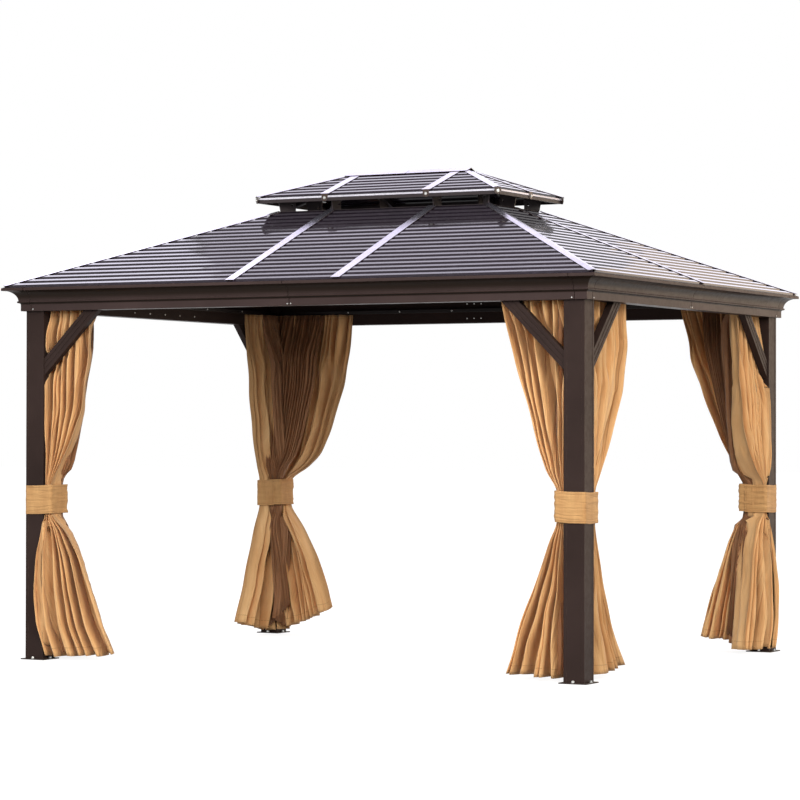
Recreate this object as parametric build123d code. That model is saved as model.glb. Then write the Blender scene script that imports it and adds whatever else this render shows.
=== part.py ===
"""Hard-top garden pavilion: posts, crown cornice, two-tier ribbed hip roof and tied-back curtains.

Millimetres. X runs along the long side, Y along the short side, Z is up.
The origin is on the ground, at the middle of the plan.
Pieces are made for the front right corner or slope and mirrored to the others.
"""
from build123d import *
import os
from dataclasses import dataclass
from math import hypot

# Frame: posts, base plates and beams
span_x = 3552.0
span_y = 2767.0
post_width = 120.0
post_faces = 4
post_wall = 3.0
post_recess_width = 84.0
post_recess_depth = 1.2
post_cap_thickness = 4.0
post_top_z = 2160.0
plate_width = 160.0
plate_thickness = 6.0
anchor_circle = 142.0
anchor_hole = 11.0
anchor_count = 4
beam_depth = 60.0
beam_wall = 3.0

# Crown cornice, set down from the post tops
cornice_drop = 147.0
cornice_height = 131.0
foot_projection = 24.0
lip_projection = 106.0
lip_height = 15.0
lip_soffit = 8.0
fascia_height = 36.0
step_size = 10.0
bead_radius = 6.0
corner_leg = 46.0
seam = 4.0
cove_bow_share = 0.7071

# Corner braces
brace_inner_reach = 272.0
brace_outer_reach = 372.0
brace_setback = 8.0
brace_depth = 40.0
brace_groove_width = 9.0
brace_groove_depth = 3.0
brace_groove_shares = (0.32, 0.68)

# Roof, common sizes
sheet_thickness = 2.0
rib_height = 9.0
rib_crest = 27.0
rib_web = 7.0
strip_width = 56.0
strip_thickness = 3.0
strip_inset = 40.0
hip_wing = 28.0
panel_gap = 6.0
edge_inset = 5.0
hip_cap_inset = 22.0

# Lower roof, from the cornice's lip up to the vent
lower_rise = 472.0
lower_ribs = 19
rafter_width = 40.0
rafter_depth = 60.0
curb_width = 30.0
curb_drop = 70.0
curb_upstand = 8.0

# Vent between the two roofs, set in from the upper eaves, and its brackets
vent_gap = 84.0
vent_setback_x = 104.0
vent_setback_y = 92.0
bracket_length = 94.0
bracket_thickness = 8.0
bracket_lean = 15.0
bracket_hole = 16.0
bracket_hole_inset = 24.0

# Upper roof
upper_half_x = 794.0
upper_half_y = 427.0
upper_rise = 150.0
ridge_setback = 419.0
upper_ribs = 7
upper_rafter_width = 40.0
upper_rafter_depth = 30.0
upper_fascia_height = 30.0
upper_fascia_width = 15.0
ridge_beam_depth = 34.0
ridge_wing = 62.0
ridge_overhang = 34.0
tab_radius = 20.0
tab_drop = 12.0
tab_thickness = 4.0

# Curtain rails, curtains and tie bands
rail_lift = 70.0
rail_height = 20.0
rail_depth = 46.0
rail_slot = 8.0
rail_slot_shares = (0.27, 0.73)
rail_wall = 3.0
curtain_clearance = 0.5
post_clearance = 3.0
curtain_pair_gap = 4.0
curtain_top_thickness = 54.0
curtain_bundle = 50.0
curtain_outer_inset = 12.0
curtain_chamfer = 12.0
curtain_reach = 600.0
curtain_hem_lift = 100.0
knee_share = 0.42
shin_share = 0.55
band_bottom_z = 842.0
band_height = 165.0
band_thickness = 5.0
band_clearance = 0.3
band_chamfer = 4.0

# One overrun serves every cut
overrun = 200.0

# Worked-out sizes
half_x = span_x / 2
half_y = span_y / 2
cornice_foot_z = post_top_z - cornice_drop
lip_z = cornice_foot_z + cornice_height
eave_half_x = half_x + lip_projection
eave_half_y = half_y + lip_projection
crest_height = rib_height + sheet_thickness
vent_half_x = upper_half_x - vent_setback_x
vent_half_y = upper_half_y - vent_setback_y
vent_z = lip_z + lower_rise
upper_eave_z = vent_z + vent_gap
ridge_z = upper_eave_z + upper_rise
ridge_half = upper_half_x - ridge_setback
strip_offset = ridge_half - strip_inset
rail_bottom_z = cornice_foot_z + rail_lift


@dataclass
class CurtainShape:
    """How a curtain hangs: its hem as a share of the hem lift, and its reach along the side at
    four heights as shares of the full reach."""

    lift_share: float
    hem_share: float
    shin_share: float
    knee_share: float
    top_share: float


# The curtains of each corner as they hang in the photo, on the long and on the short side
curtain_shapes = {
    "front_right": (
        CurtainShape(lift_share=0.16, hem_share=0.62, shin_share=0.37, knee_share=0.33, top_share=0.70),
        CurtainShape(lift_share=0.16, hem_share=0.98, shin_share=0.45, knee_share=0.72, top_share=0.92),
    ),
    "front_left": (
        CurtainShape(lift_share=0.16, hem_share=0.76, shin_share=0.41, knee_share=0.36, top_share=0.48),
        CurtainShape(lift_share=0.20, hem_share=0.70, shin_share=0.41, knee_share=0.50, top_share=0.72),
    ),
    "back_right": (
        CurtainShape(lift_share=0.45, hem_share=0.62, shin_share=0.39, knee_share=0.36, top_share=0.79),
        CurtainShape(lift_share=0.20, hem_share=0.43, shin_share=0.30, knee_share=0.38, top_share=0.62),
    ),
    "back_left": (
        CurtainShape(lift_share=1.00, hem_share=0.70, shin_share=0.43, knee_share=0.67, top_share=0.90),
        CurtainShape(lift_share=0.80, hem_share=0.75, shin_share=0.42, knee_share=0.40, top_share=0.53),
    ),
}


def prism(points, vector):
    """Solid made by pushing a flat polygon along a vector."""
    outline = Wire.make_polygon([Vector(*point) for point in points], close=True)
    return Solid.extrude(Face(outline), Vector(*vector))


def block(x_limits, y_limits, z_limits):
    """Box between three pairs of limits."""
    limits = (x_limits, y_limits, z_limits)
    low = [min(pair) for pair in limits]
    size = [max(pair) - min(pair) for pair in limits]
    return Pos(*low) * Box(*size, align=(Align.MIN, Align.MIN, Align.MIN))


def only(shape):
    """The single solid of a cut or joined shape."""
    return max(shape.solids(), key=lambda solid: solid.volume)


def mirrored_x(solids):
    """Each solid and its twin across the YZ plane."""
    return list(solids) + [solid.mirror(Plane.YZ) for solid in solids]


def mirrored_y(solids):
    """Each solid and its twin across the XZ plane."""
    return list(solids) + [solid.mirror(Plane.XZ) for solid in solids]


def to_all_corners(solids):
    """Each solid of the front right corner, repeated at the four corners."""
    return mirrored_y(mirrored_x(solids))


def moved_to(corner, solids):
    """The front right corner's solids, mirrored to a named corner."""
    if corner.endswith("left"):
        solids = [solid.mirror(Plane.YZ) for solid in solids]
    if corner.startswith("back"):
        solids = [solid.mirror(Plane.XZ) for solid in solids]
    return list(solids)


def corners_by_name(solids):
    """The front right corner's solids under the names of all four corners."""
    return {corner: moved_to(corner, solids) for corner in curtain_shapes}


# Places on a side of the front right corner: reach runs along the side from the post,
# inset runs inward from the outer face of the posts


def side_point(side, reach, inset, z):
    """World point for a place on the long or the short side."""
    if side == "long":
        return (half_x - post_width - reach, inset - half_y, z)
    return (half_x - inset, post_width + reach - half_y, z)


def inward(side, depth):
    """World vector pointing into the pavilion from a side."""
    return (0, depth, 0) if side == "long" else (-depth, 0, 0)


# Posts and base plates


def post_section():
    """Square tube outline with a shallow recess down each face."""
    outer = Rectangle(post_width, post_width)
    recess = Rectangle(post_recess_width, post_recess_depth)
    recess_place = (post_width - post_recess_depth) / 2
    for turn in range(post_faces):
        outer -= Rot(0, 0, turn * 360 / post_faces) * Pos(0, recess_place) * recess
    bore = post_width - 2 * post_wall
    return outer - Rectangle(bore, bore)


def post():
    """Capped tube standing on its base plate."""
    height = post_top_z - plate_thickness
    tube = extrude(post_section(), height)
    bore = post_width - 2 * post_wall
    cap = Pos(0, 0, height - post_cap_thickness / 2) * Box(bore, bore, post_cap_thickness)
    place = Pos(half_x - post_width / 2, post_width / 2 - half_y, plate_thickness)
    return only(place * (tube + cap))


def base_plate():
    """Square foot with an anchor hole at the middle of each side."""
    plate = Box(plate_width, plate_width, plate_thickness, align=(Align.CENTER, Align.CENTER, Align.MIN))
    hole = Cylinder(anchor_hole / 2, 2 * overrun)
    for place in PolarLocations(anchor_circle / 2, anchor_count):
        plate -= place * hole
    return only(Pos(half_x - post_width / 2, post_width / 2 - half_y, 0) * plate)


# Beams, curtain rails and braces


def tube_between(side, inset, depth, z_low, z_high, wall):
    """Hollow bar from post to post along a whole side."""
    length = (span_x if side == "long" else span_y) - 2 * post_width
    outer = Rectangle(depth, z_high - z_low)
    section = outer - Rectangle(depth - 2 * wall, z_high - z_low - 2 * wall)
    bar = extrude(section, length)
    middle_z = (z_low + z_high) / 2
    if side == "long":
        start = (-length / 2, inset + depth / 2 - half_y, middle_z)
        plane = Plane(start, x_dir=(0, 1, 0), z_dir=(1, 0, 0))
    else:
        start = (half_x - inset - depth / 2, -length / 2, middle_z)
        plane = Plane(start, x_dir=(-1, 0, 0), z_dir=(0, 1, 0))
    return only(plane.location * bar)


def beam(side):
    """Tube beam flush with the outer face of the posts."""
    return tube_between(side, 0, beam_depth, cornice_foot_z, post_top_z, beam_wall)


def rail(side):
    """Track with a slot for the curtain and one for the net, on the inner face of a beam."""
    rail_top_z = rail_bottom_z + rail_height
    track = tube_between(side, beam_depth, rail_depth, rail_bottom_z, rail_top_z, rail_wall)
    length = max(span_x, span_y)
    slot_z = (rail_bottom_z - overrun, rail_bottom_z + rail_wall + curtain_clearance)
    for share in rail_slot_shares:
        inset = beam_depth + share * rail_depth
        middle = inset - half_y if side == "long" else half_x - inset
        across = (middle - rail_slot / 2, middle + rail_slot / 2)
        along = (-length, length)
        track -= block(along, across, slot_z) if side == "long" else block(across, along, slot_z)
    return only(track)


def brace_band(side, near, far, inset, depth):
    """Slanted bar between two reaches, from the post's face up to the beam's underside."""
    outline = ((0, near), (0, far), (far, 0), (near, 0))
    points = [side_point(side, reach, inset, cornice_foot_z - drop) for reach, drop in outline]
    return prism(points, inward(side, depth))


def brace(side):
    """Corner brace at 45 degrees with two grooves down its outer face."""
    bar = brace_band(side, brace_inner_reach, brace_outer_reach, brace_setback, brace_depth)
    width = brace_outer_reach - brace_inner_reach
    for share in brace_groove_shares:
        start = brace_inner_reach + share * width - brace_groove_width / 2
        bar -= brace_band(side, start, start + brace_groove_width, brace_setback, brace_groove_depth)
    return only(bar)


# Roof slopes


@dataclass
class Slope:
    """Roof slope that rises from a level eave to a level top edge.

    Its plane has x along the eave, y up the slope and z out of the roof.
    """

    plane: Plane
    length: float
    pitch: float
    eave_half: float
    top_half: float
    ribs: int

    def at(self, x, y, z=0.0):
        """World point of a place on the slope."""
        return tuple(self.plane.from_local_coords(Vector(x, y, z)))

    def push(self, x=0.0, z=0.0):
        """World vector along the eave and out of the roof."""
        return tuple(self.plane.x_dir * x + self.plane.z_dir * z)

    def half_at(self, y):
        """Half width of the slope at a distance up it."""
        return self.eave_half + (self.top_half - self.eave_half) * y / self.length


def make_slope(side, eave, top, eave_z, top_z, ribs):
    """Slope of the front or the right side, between half sizes (x, y) of its eave and its top."""
    rise = top_z - eave_z
    run = eave[1] - top[1] if side == "long" else eave[0] - top[0]
    length = hypot(run, rise)
    lean, stand = rise / length, run / length
    if side == "long":
        plane = Plane((0, -eave[1], eave_z), x_dir=(1, 0, 0), z_dir=(0, -lean, stand))
        return Slope(plane, length, rise / run, eave[0], top[0], ribs)
    plane = Plane((eave[0], 0, eave_z), x_dir=(0, 1, 0), z_dir=(lean, 0, stand))
    return Slope(plane, length, rise / run, eave[1], top[1], ribs)


lower_eave = (eave_half_x, eave_half_y)
lower_top = (vent_half_x, vent_half_y)
upper_eave = (upper_half_x, upper_half_y)
upper_top = (ridge_half, 0.0)
lower = {}
upper = {}
for side in ("long", "short"):
    lower[side] = make_slope(side, lower_eave, lower_top, lip_z, vent_z, lower_ribs)
    upper[side] = make_slope(side, upper_eave, upper_top, upper_eave_z, ridge_z, upper_ribs)
strip_places = {"long": (-strip_offset, strip_offset), "short": (0.0,)}


# Ribbed roof panels


def rib_outline(slope):
    """Places (y, z) along the underside of the ribbed sheet, from eave to top."""
    pitch = slope.length / slope.ribs
    flat = (pitch - rib_crest) / 2 - rib_web
    points = [(edge_inset, 0)]
    for rib in range(slope.ribs):
        start = rib * pitch + flat
        crest = start + rib_web
        points += [(start, 0), (crest, rib_height)]
        points += [(crest + rib_crest, rib_height), (crest + rib_crest + rib_web, 0)]
    points.append((slope.length - edge_inset, 0))
    return points


def ribbed_sheet(slope):
    """The whole slope's ribbed sheet, before it is cut to panels."""
    under = rib_outline(slope)
    over = [(y, z + sheet_thickness) for y, z in reversed(under)]
    start = -slope.eave_half
    points = [slope.at(start, y, z) for y, z in under + over]
    return prism(points, slope.push(x=2 * slope.eave_half))


def panels(slope, places):
    """Panels of one slope, parted under its seam strips and trimmed back from the hips."""
    sheet = ribbed_sheet(slope)
    edges = [None, *places, None]
    made = []
    for low, high in zip(edges, edges[1:]):
        outline = [
            (-slope.half_at(0) + panel_gap if low is None else low + panel_gap / 2, 0),
            (slope.half_at(0) - panel_gap if high is None else high - panel_gap / 2, 0),
            (slope.top_half - panel_gap if high is None else high - panel_gap / 2, slope.length),
            (panel_gap - slope.top_half if low is None else low + panel_gap / 2, slope.length),
        ]
        points = [slope.at(x, y, -overrun) for x, y in outline]
        made.append(only(sheet & prism(points, slope.push(z=2 * overrun))))
    return made


def gable_panels(slope):
    """Two panels of an upper end slope, which runs up to a point."""
    sheet = ribbed_sheet(slope)
    tip = slope.length * (1 - panel_gap / slope.eave_half)
    outline = ((panel_gap / 2, 0), (slope.eave_half - panel_gap, 0), (panel_gap / 2, tip))
    made = []
    for hand in (-1, 1):
        points = [slope.at(hand * x, y, -overrun) for x, y in outline]
        made.append(only(sheet & prism(points, slope.push(z=2 * overrun))))
    return made


# Seam strips, hip caps and the ridge cap, all lying on the crests of the ribs


def strip(slope, place, low, high):
    """Flat cover strip up a slope over a panel joint."""
    left, right = place - strip_width / 2, place + strip_width / 2
    outline = ((left, low), (right, low), (right, high), (left, high))
    points = [slope.at(x, y, crest_height) for x, y in outline]
    return prism(points, slope.push(z=strip_thickness))


def hip_frame(slopes, eave, top, eave_z, top_z):
    """Foot, direction and length of a front right hip, and the way its two slopes run from it."""
    foot = Vector(eave[0], -eave[1], eave_z)
    head = Vector(top[0], -top[1], top_z)
    along = (head - foot).normalized()
    wings = {}
    for side, sign in (("long", -1), ("short", 1)):
        normal = slopes[side].plane.z_dir
        wings[side] = (normal, along.cross(normal) * sign)
    return foot, along, (head - foot).length, wings


def folded_cap(foot, along, length, wings, width, height):
    """Cap folded over a hip or ridge, lying at a height above both slopes."""
    normals = [normal for normal, _ in wings]
    bisector = (normals[0] + normals[1]).normalized()
    fold = 1 / bisector.dot(normals[0])
    inner = foot + bisector * (height * fold)
    outer = foot + bisector * ((height + strip_thickness) * fold)
    (first_normal, first_way), (second_normal, second_way) = wings
    first = inner + first_way * width
    second = inner + second_way * width
    points = [
        inner,
        first,
        first + first_normal * strip_thickness,
        outer,
        second + second_normal * strip_thickness,
        second,
    ]
    return prism([tuple(point) for point in points], tuple(along * length))


def hip_cap(slopes, eave, top, eave_z, top_z, low, high):
    """Cap over the front right hip, between distances along it."""
    foot, along, length, wings = hip_frame(slopes, eave, top, eave_z, top_z)
    start = foot + along * low
    return folded_cap(start, along, length - low - high, list(wings.values()), hip_wing, crest_height)


def lower_hip_cap():
    """Lower hip cap, its foot trimmed to the eaves."""
    cap = hip_cap(lower, lower_eave, lower_top, lip_z, vent_z, hip_cap_inset, edge_inset)
    return only(cap & block((0, eave_half_x), (-eave_half_y, 0), (0, ridge_z)))


def ridge_cap():
    """Right half of the ridge cap, parted from the left one by a seam."""
    normal = upper["long"].plane.z_dir
    way = Vector(0, -cos_of(upper["long"]), -sin_of(upper["long"]))
    other_normal = Vector(0, -normal.Y, normal.Z)
    other_way = Vector(0, -way.Y, way.Z)
    foot = Vector(seam / 2, 0, ridge_z)
    length = ridge_half + ridge_overhang - seam / 2
    height = crest_height + strip_thickness
    wings = [(normal, way), (other_normal, other_way)]
    return folded_cap(foot, Vector(1, 0, 0), length, wings, ridge_wing, height)


def cos_of(slope):
    """Level share of a slope's rise."""
    return slope.plane.z_dir.Z


def sin_of(slope):
    """Upright share of a slope's rise."""
    return hypot(slope.plane.z_dir.X, slope.plane.z_dir.Y)


# Rafters


def hip_bar(slopes, eave, top, eave_z, top_z, width, depth):
    """Bar under the front right hip with a roof-shaped top and a flat underside."""
    foot, along, length, wings = hip_frame(slopes, eave, top, eave_z, top_z)
    level = along.cross(Vector(0, 0, 1)).normalized()
    up = level.cross(along)
    top_points = {}
    for side, (_, way) in wings.items():
        top_points[side] = way * (width / 2 / abs(way.dot(level)))
    long_hand = 1 if top_points["long"].dot(level) > 0 else -1
    low_long = level * (long_hand * width / 2) - up * depth
    low_short = level * (-long_hand * width / 2) - up * depth
    offsets = [Vector(0, 0, 0), top_points["long"], low_long, low_short, top_points["short"]]
    return prism([tuple(foot + offset) for offset in offsets], tuple(along * length))


def common_bar(slope, place, width, drop):
    """Upright-sided bar under a slope, from its eave to its top edge."""
    left = place - width / 2
    low, high = slope.at(left, 0), slope.at(left, slope.length)
    under = [(x, y, z - drop) for x, y, z in (high, low)]
    return prism([low, high, *under], slope.push(x=width))


def lower_rafters():
    """Hip and common rafters, seated on the posts and beams and butted to the vent curb."""
    frame = block((-half_x, half_x), (-half_y, half_y), (0, ridge_z))
    seat = block((-half_x, half_x), (-half_y, half_y), (0, post_top_z))
    hollow_x, hollow_y = half_x - beam_depth, half_y - beam_depth
    seat -= block((-hollow_x, hollow_x), (-hollow_y, hollow_y), (-overrun, ridge_z))
    seat += block((half_x - post_width, half_x), (-half_y, post_width - half_y), (0, post_top_z))
    curb = block((-vent_half_x, vent_half_x), (-vent_half_y, vent_half_y), (0, ridge_z))
    hip = hip_bar(lower, lower_eave, lower_top, lip_z, vent_z, rafter_width, rafter_depth)
    hips = to_all_corners([only((hip & frame) - seat - curb)])
    right_long = common_bar(lower["long"], strip_offset, rafter_width, rafter_depth)
    longs = to_all_corners([only((right_long & frame) - seat - curb)])
    right_short = common_bar(lower["short"], 0.0, rafter_width, rafter_depth)
    shorts = mirrored_x([only((right_short & frame) - seat - curb)])
    return hips + longs + shorts


def curb_long():
    """Front rail of the vent opening."""
    y_limits = (-vent_half_y, curb_width - vent_half_y)
    return only(block((-vent_half_x, vent_half_x), y_limits, (vent_z - curb_drop, vent_z + curb_upstand)))


def curb_short():
    """Right rail of the vent opening, between the long rails."""
    y_half = vent_half_y - curb_width
    x_limits = (vent_half_x - curb_width, vent_half_x)
    return only(block(x_limits, (-y_half, y_half), (vent_z - curb_drop, vent_z + curb_upstand)))


# Upper roof frame


def upper_rafters():
    """Hip and common rafters of the upper roof, between its fascias and the ridge beam."""
    inside_x, inside_y = upper_half_x - upper_fascia_width, upper_half_y - upper_fascia_width
    frame = block((-inside_x, inside_x), (-inside_y, inside_y), (0, ridge_z))
    half = upper_rafter_width / 2
    ridge = block((-ridge_half, ridge_half), (-half, half), (0, ridge_z))
    end_gap = half + panel_gap
    end_bar = block((-upper_half_x, upper_half_x), (-end_gap, end_gap), (0, ridge_z))
    width, depth = upper_rafter_width, upper_rafter_depth
    hip = hip_bar(upper, upper_eave, upper_top, upper_eave_z, ridge_z, width, depth)
    hips = to_all_corners([only((hip & frame) - end_bar)])
    drop = upper_rafter_depth / cos_of(upper["long"])
    right_long = common_bar(upper["long"], strip_offset, upper_rafter_width, drop)
    longs = to_all_corners([only((right_long & frame) - ridge)])
    right_short = common_bar(upper["short"], 0.0, upper_rafter_width, drop)
    shorts = mirrored_x([only((right_short & frame & slope_wedge(upper["long"])) - ridge)])
    return hips + longs + shorts


def slope_wedge(slope):
    """Room under the front slope and its mirror twin, up to the ridge."""
    low = slope.at(-slope.eave_half - overrun, -overrun)
    tip = slope.at(-slope.eave_half - overrun, slope.length)
    floor = (low[0], low[1], 0)
    far_floor = (low[0], -low[1], 0)
    far = (low[0], -low[1], low[2])
    return prism([floor, low, tip, far, far_floor], (2 * (slope.eave_half + overrun), 0, 0))


def ridge_beam():
    """Bar under the ridge with a roof-shaped top."""
    half = upper_rafter_width / 2
    shoulder = ridge_z - half * upper["long"].pitch
    low = ridge_z - ridge_beam_depth
    outline = ((0, ridge_z), (half, shoulder), (half, low), (-half, low), (-half, shoulder))
    return prism([(-ridge_half, y, z) for y, z in outline], (2 * ridge_half, 0, 0))


def upper_fascia_long():
    """Front fascia of the upper eave, its top edge planed to the slope."""
    inner = upper_half_y - upper_fascia_width
    low = upper_eave_z - upper_fascia_height
    high = upper_eave_z + upper_fascia_width * upper["long"].pitch
    outline = ((-upper_half_y, low), (-inner, low), (-inner, high), (-upper_half_y, upper_eave_z))
    bar = prism([(-upper_half_x, y, z) for y, z in outline], (2 * upper_half_x, 0, 0))
    return only(bar & end_slopes())


def end_slopes():
    """Room under the upper roof's two end slopes."""
    slope = upper["short"]
    low = slope.at(-overrun, 0)
    high = slope.at(-overrun, slope.length)
    right = [(low[0], 0), (low[0], low[2]), (high[0], high[2])]
    outline = right + [(-x, z) for x, z in reversed(right)]
    return prism([(x, -upper_half_y, z) for x, z in outline], (0, 2 * upper_half_y, 0))


def upper_fascia_short():
    """Right fascia of the upper eave, between the long ones."""
    inner = upper_half_x - upper_fascia_width
    low = upper_eave_z - upper_fascia_height
    high = upper_eave_z + upper_fascia_width * upper["short"].pitch
    outline = ((upper_half_x, low), (inner, low), (inner, high), (upper_half_x, upper_eave_z))
    reach = upper_half_y - upper_fascia_width
    return prism([(x, -reach, z) for x, z in outline], (0, 2 * reach, 0))


def bracket_plate(corner, outward, top_z, fall):
    """Upright plate on the vent curb, pointing outward, up to a rafter's underside.

    The rafter's underside is at top_z over the curb's outer edge and falls outward.
    """
    across = outward.cross(Vector(0, 0, 1))
    foot_z = vent_z + curb_upstand
    outline = (
        (0, foot_z),
        (bracket_lean, top_z - bracket_lean * fall),
        (-bracket_length, top_z + bracket_length * fall),
        (-bracket_length, foot_z),
    )
    start = corner - across * (bracket_thickness / 2)
    points = [tuple(start + outward * out + Vector(0, 0, z)) for out, z in outline]
    plate = prism(points, tuple(across * bracket_thickness))
    hole_at = corner - outward * (bracket_length - bracket_hole_inset) + Vector(0, 0, (foot_z + top_z) / 2)
    drill = Plane(tuple(hole_at), x_dir=tuple(outward), z_dir=tuple(across)).location
    return only(plate - drill * Cylinder(bracket_hole / 2, 2 * bracket_thickness))


def vent_brackets():
    """Plates that carry the upper roof: one at each corner and one under each seam strip."""
    made = []
    for side, sign_x, sign_y in (("long", 0, -1), ("short", 1, 0)):
        slope = upper[side]
        outer = vent_half_y if side == "long" else vent_half_x
        reach = (upper_half_y if side == "long" else upper_half_x) - outer
        drop = upper_rafter_depth / cos_of(upper["long"])
        top_z = upper_eave_z + reach * slope.pitch - drop
        place = strip_offset if side == "long" else 0
        corner = Vector(place, -outer, 0) if side == "long" else Vector(outer, 0, 0)
        plate = bracket_plate(corner, Vector(sign_x, sign_y, 0), top_z, slope.pitch)
        made += to_all_corners([plate]) if side == "long" else mirrored_x([plate])
    way = Vector(upper_half_x - ridge_half, -upper_half_y, 0)
    outward = way.normalized()
    fall = (ridge_z - upper_eave_z) / way.length
    drop = upper_rafter_depth * hypot(1, fall)
    corner = Vector(vent_half_x, -vent_half_y, 0)
    reach = (Vector(upper_half_x, -upper_half_y, 0) - corner).dot(outward)
    plate = bracket_plate(corner, outward, upper_eave_z + reach * fall - drop, fall)
    return made + to_all_corners([plate])


# Upper strips, whose feet bend down over the fascia as rounded tabs


def tab(foot, outward, top_z):
    """Rounded tab hanging in front of the fascia at a foot point."""
    across = outward.cross(Vector(0, 0, 1))
    low = upper_eave_z - tab_drop
    start = foot - across * tab_radius
    corners = (
        start + Vector(0, 0, low),
        start + across * (2 * tab_radius) + Vector(0, 0, low),
        start + across * (2 * tab_radius) + Vector(0, 0, top_z),
        start + Vector(0, 0, top_z),
    )
    plate = prism([tuple(point) for point in corners], tuple(outward * tab_thickness))
    middle = foot + outward * (tab_thickness / 2) + Vector(0, 0, low)
    disc = Plane(tuple(middle), x_dir=tuple(across), z_dir=tuple(outward)).location
    return plate + disc * Cylinder(tab_radius, tab_thickness)


def upper_strip(side, place):
    """Upper seam strip with its tab."""
    slope = upper[side]
    lift = crest_height + strip_thickness / 2
    overhang = -tab_thickness / cos_of(slope) + crest_height * slope.pitch
    head = slope.length - edge_inset
    if side == "short":
        head -= ridge_wing
    bar = strip(slope, place, overhang, head)
    foot = Vector(place, -upper_half_y, 0) if side == "long" else Vector(upper_half_x, place, 0)
    outward = Vector(0, -1, 0) if side == "long" else Vector(1, 0, 0)
    return only(bar + tab(foot, outward, upper_eave_z + lift * cos_of(slope)))


def upper_hip_cap():
    """Upper hip cap with its corner tab."""
    cap = hip_cap(upper, upper_eave, upper_top, upper_eave_z, ridge_z, -tab_thickness, ridge_wing)
    way = Vector(upper_half_x - ridge_half, -upper_half_y, 0)
    foot = Vector(upper_half_x, -upper_half_y, 0)
    return only(cap + tab(foot, way.normalized(), upper_eave_z + crest_height))


# Crown cornice


def cornice_face(place, slope):
    """Face of the cornice's section, in a plane given by a function of (projection, z)."""
    fascia_z = cornice_foot_z + fascia_height
    step_z = fascia_z + step_size
    bead_z = step_z + 2 * bead_radius
    step_out = foot_projection + step_size
    cove_z = lip_z - lip_height
    cove_out = lip_projection - lip_soffit
    rise, run = cove_z - bead_z, cove_out - step_out
    cove_mid = (cove_out - run * cove_bow_share, bead_z + rise * cove_bow_share)
    bead_mid = (step_out + bead_radius, step_z + bead_radius)
    back_z = lip_z + lip_projection * slope.pitch
    arc = Edge.make_three_point_arc
    step_bow = step_size * (1 - cove_bow_share)
    step_mid = (foot_projection + step_bow, step_z - step_bow)
    edges = [
        Edge.make_line(place(0, cornice_foot_z), place(foot_projection, cornice_foot_z)),
        Edge.make_line(place(foot_projection, cornice_foot_z), place(foot_projection, fascia_z)),
        arc(place(foot_projection, fascia_z), place(*step_mid), place(step_out, step_z)),
        arc(place(step_out, step_z), place(*bead_mid), place(step_out, bead_z)),
        arc(place(step_out, bead_z), place(*cove_mid), place(cove_out, cove_z)),
        Edge.make_line(place(cove_out, cove_z), place(lip_projection, cove_z)),
        Edge.make_line(place(lip_projection, cove_z), place(lip_projection, lip_z)),
        Edge.make_line(place(lip_projection, lip_z), place(0, back_z)),
        Edge.make_line(place(0, back_z), place(0, cornice_foot_z)),
    ]
    return Face(Wire(edges))


def cornice_bar(side, start, end):
    """Length of cornice along the front or the right side."""
    if side == "long":
        face = cornice_face(lambda out, z: Vector(start, -half_y - out, z), lower[side])
        return Solid.extrude(face, Vector(end - start, 0, 0))
    face = cornice_face(lambda out, z: Vector(half_x + out, start, z), lower[side])
    return Solid.extrude(face, Vector(0, end - start, 0))


def cornice_corner():
    """Mitred corner piece with two short legs."""
    reach = 2 * lip_projection
    corner = (half_x, -half_y, 0)
    far = (half_x + reach, -half_y - reach, 0)
    front_end = half_x - corner_leg
    right_end = corner_leg - half_y
    front_room = [corner, far, (front_end, far[1], 0), (front_end, corner[1], 0)]
    right_room = [corner, far, (far[0], right_end, 0), (corner[0], right_end, 0)]
    front = cornice_bar("long", front_end, far[0]) & prism(front_room, (0, 0, ridge_z))
    right = cornice_bar("short", far[1], right_end) & prism(right_room, (0, 0, ridge_z))
    return only(front + right)


# Curtains and tie bands


def curtain(side, shape):
    """Gathered curtain: hung from the rail, drawn in to the post by the band, loose again below."""
    band_top_z = band_bottom_z + band_height
    top_z = rail_bottom_z - curtain_clearance
    bundle_far = post_width - curtain_pair_gap / 2
    if side == "long":
        bundle_far = post_width + curtain_bundle
    rail_near = beam_depth + post_clearance
    rail_far = rail_near + curtain_top_thickness
    near, low_near = brace_setback + brace_depth + post_clearance, curtain_outer_inset
    knee_z = band_top_z + (top_z - band_top_z) * knee_share
    hem_z = curtain_hem_lift * shape.lift_share
    shin_z = band_bottom_z + (hem_z - band_bottom_z) * shin_share
    levels = (
        (hem_z, curtain_reach * shape.hem_share, low_near, bundle_far),
        (shin_z, curtain_reach * shape.shin_share, low_near, bundle_far),
        (band_bottom_z, curtain_bundle, low_near, bundle_far),
        (band_top_z, curtain_bundle, low_near, bundle_far),
        (knee_z, curtain_reach * shape.knee_share, near, bundle_far),
        (top_z, curtain_reach * shape.top_share, rail_near, rail_far),
    )
    return Solid.make_loft([curtain_ring(side, *level) for level in levels], ruled=True)


def curtain_ring(side, z, span, near, far):
    """Chamfered outline of a curtain at one height."""
    low, cut = post_clearance, curtain_chamfer
    outline = (
        (low + cut, near),
        (span - cut, near),
        (span, near + cut),
        (span, far - cut),
        (span - cut, far),
        (low + cut, far),
        (low, far - cut),
        (low, near + cut),
    )
    points = [Vector(*side_point(side, reach, inset, z)) for reach, inset in outline]
    return Wire.make_polygon(points, close=True)


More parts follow.
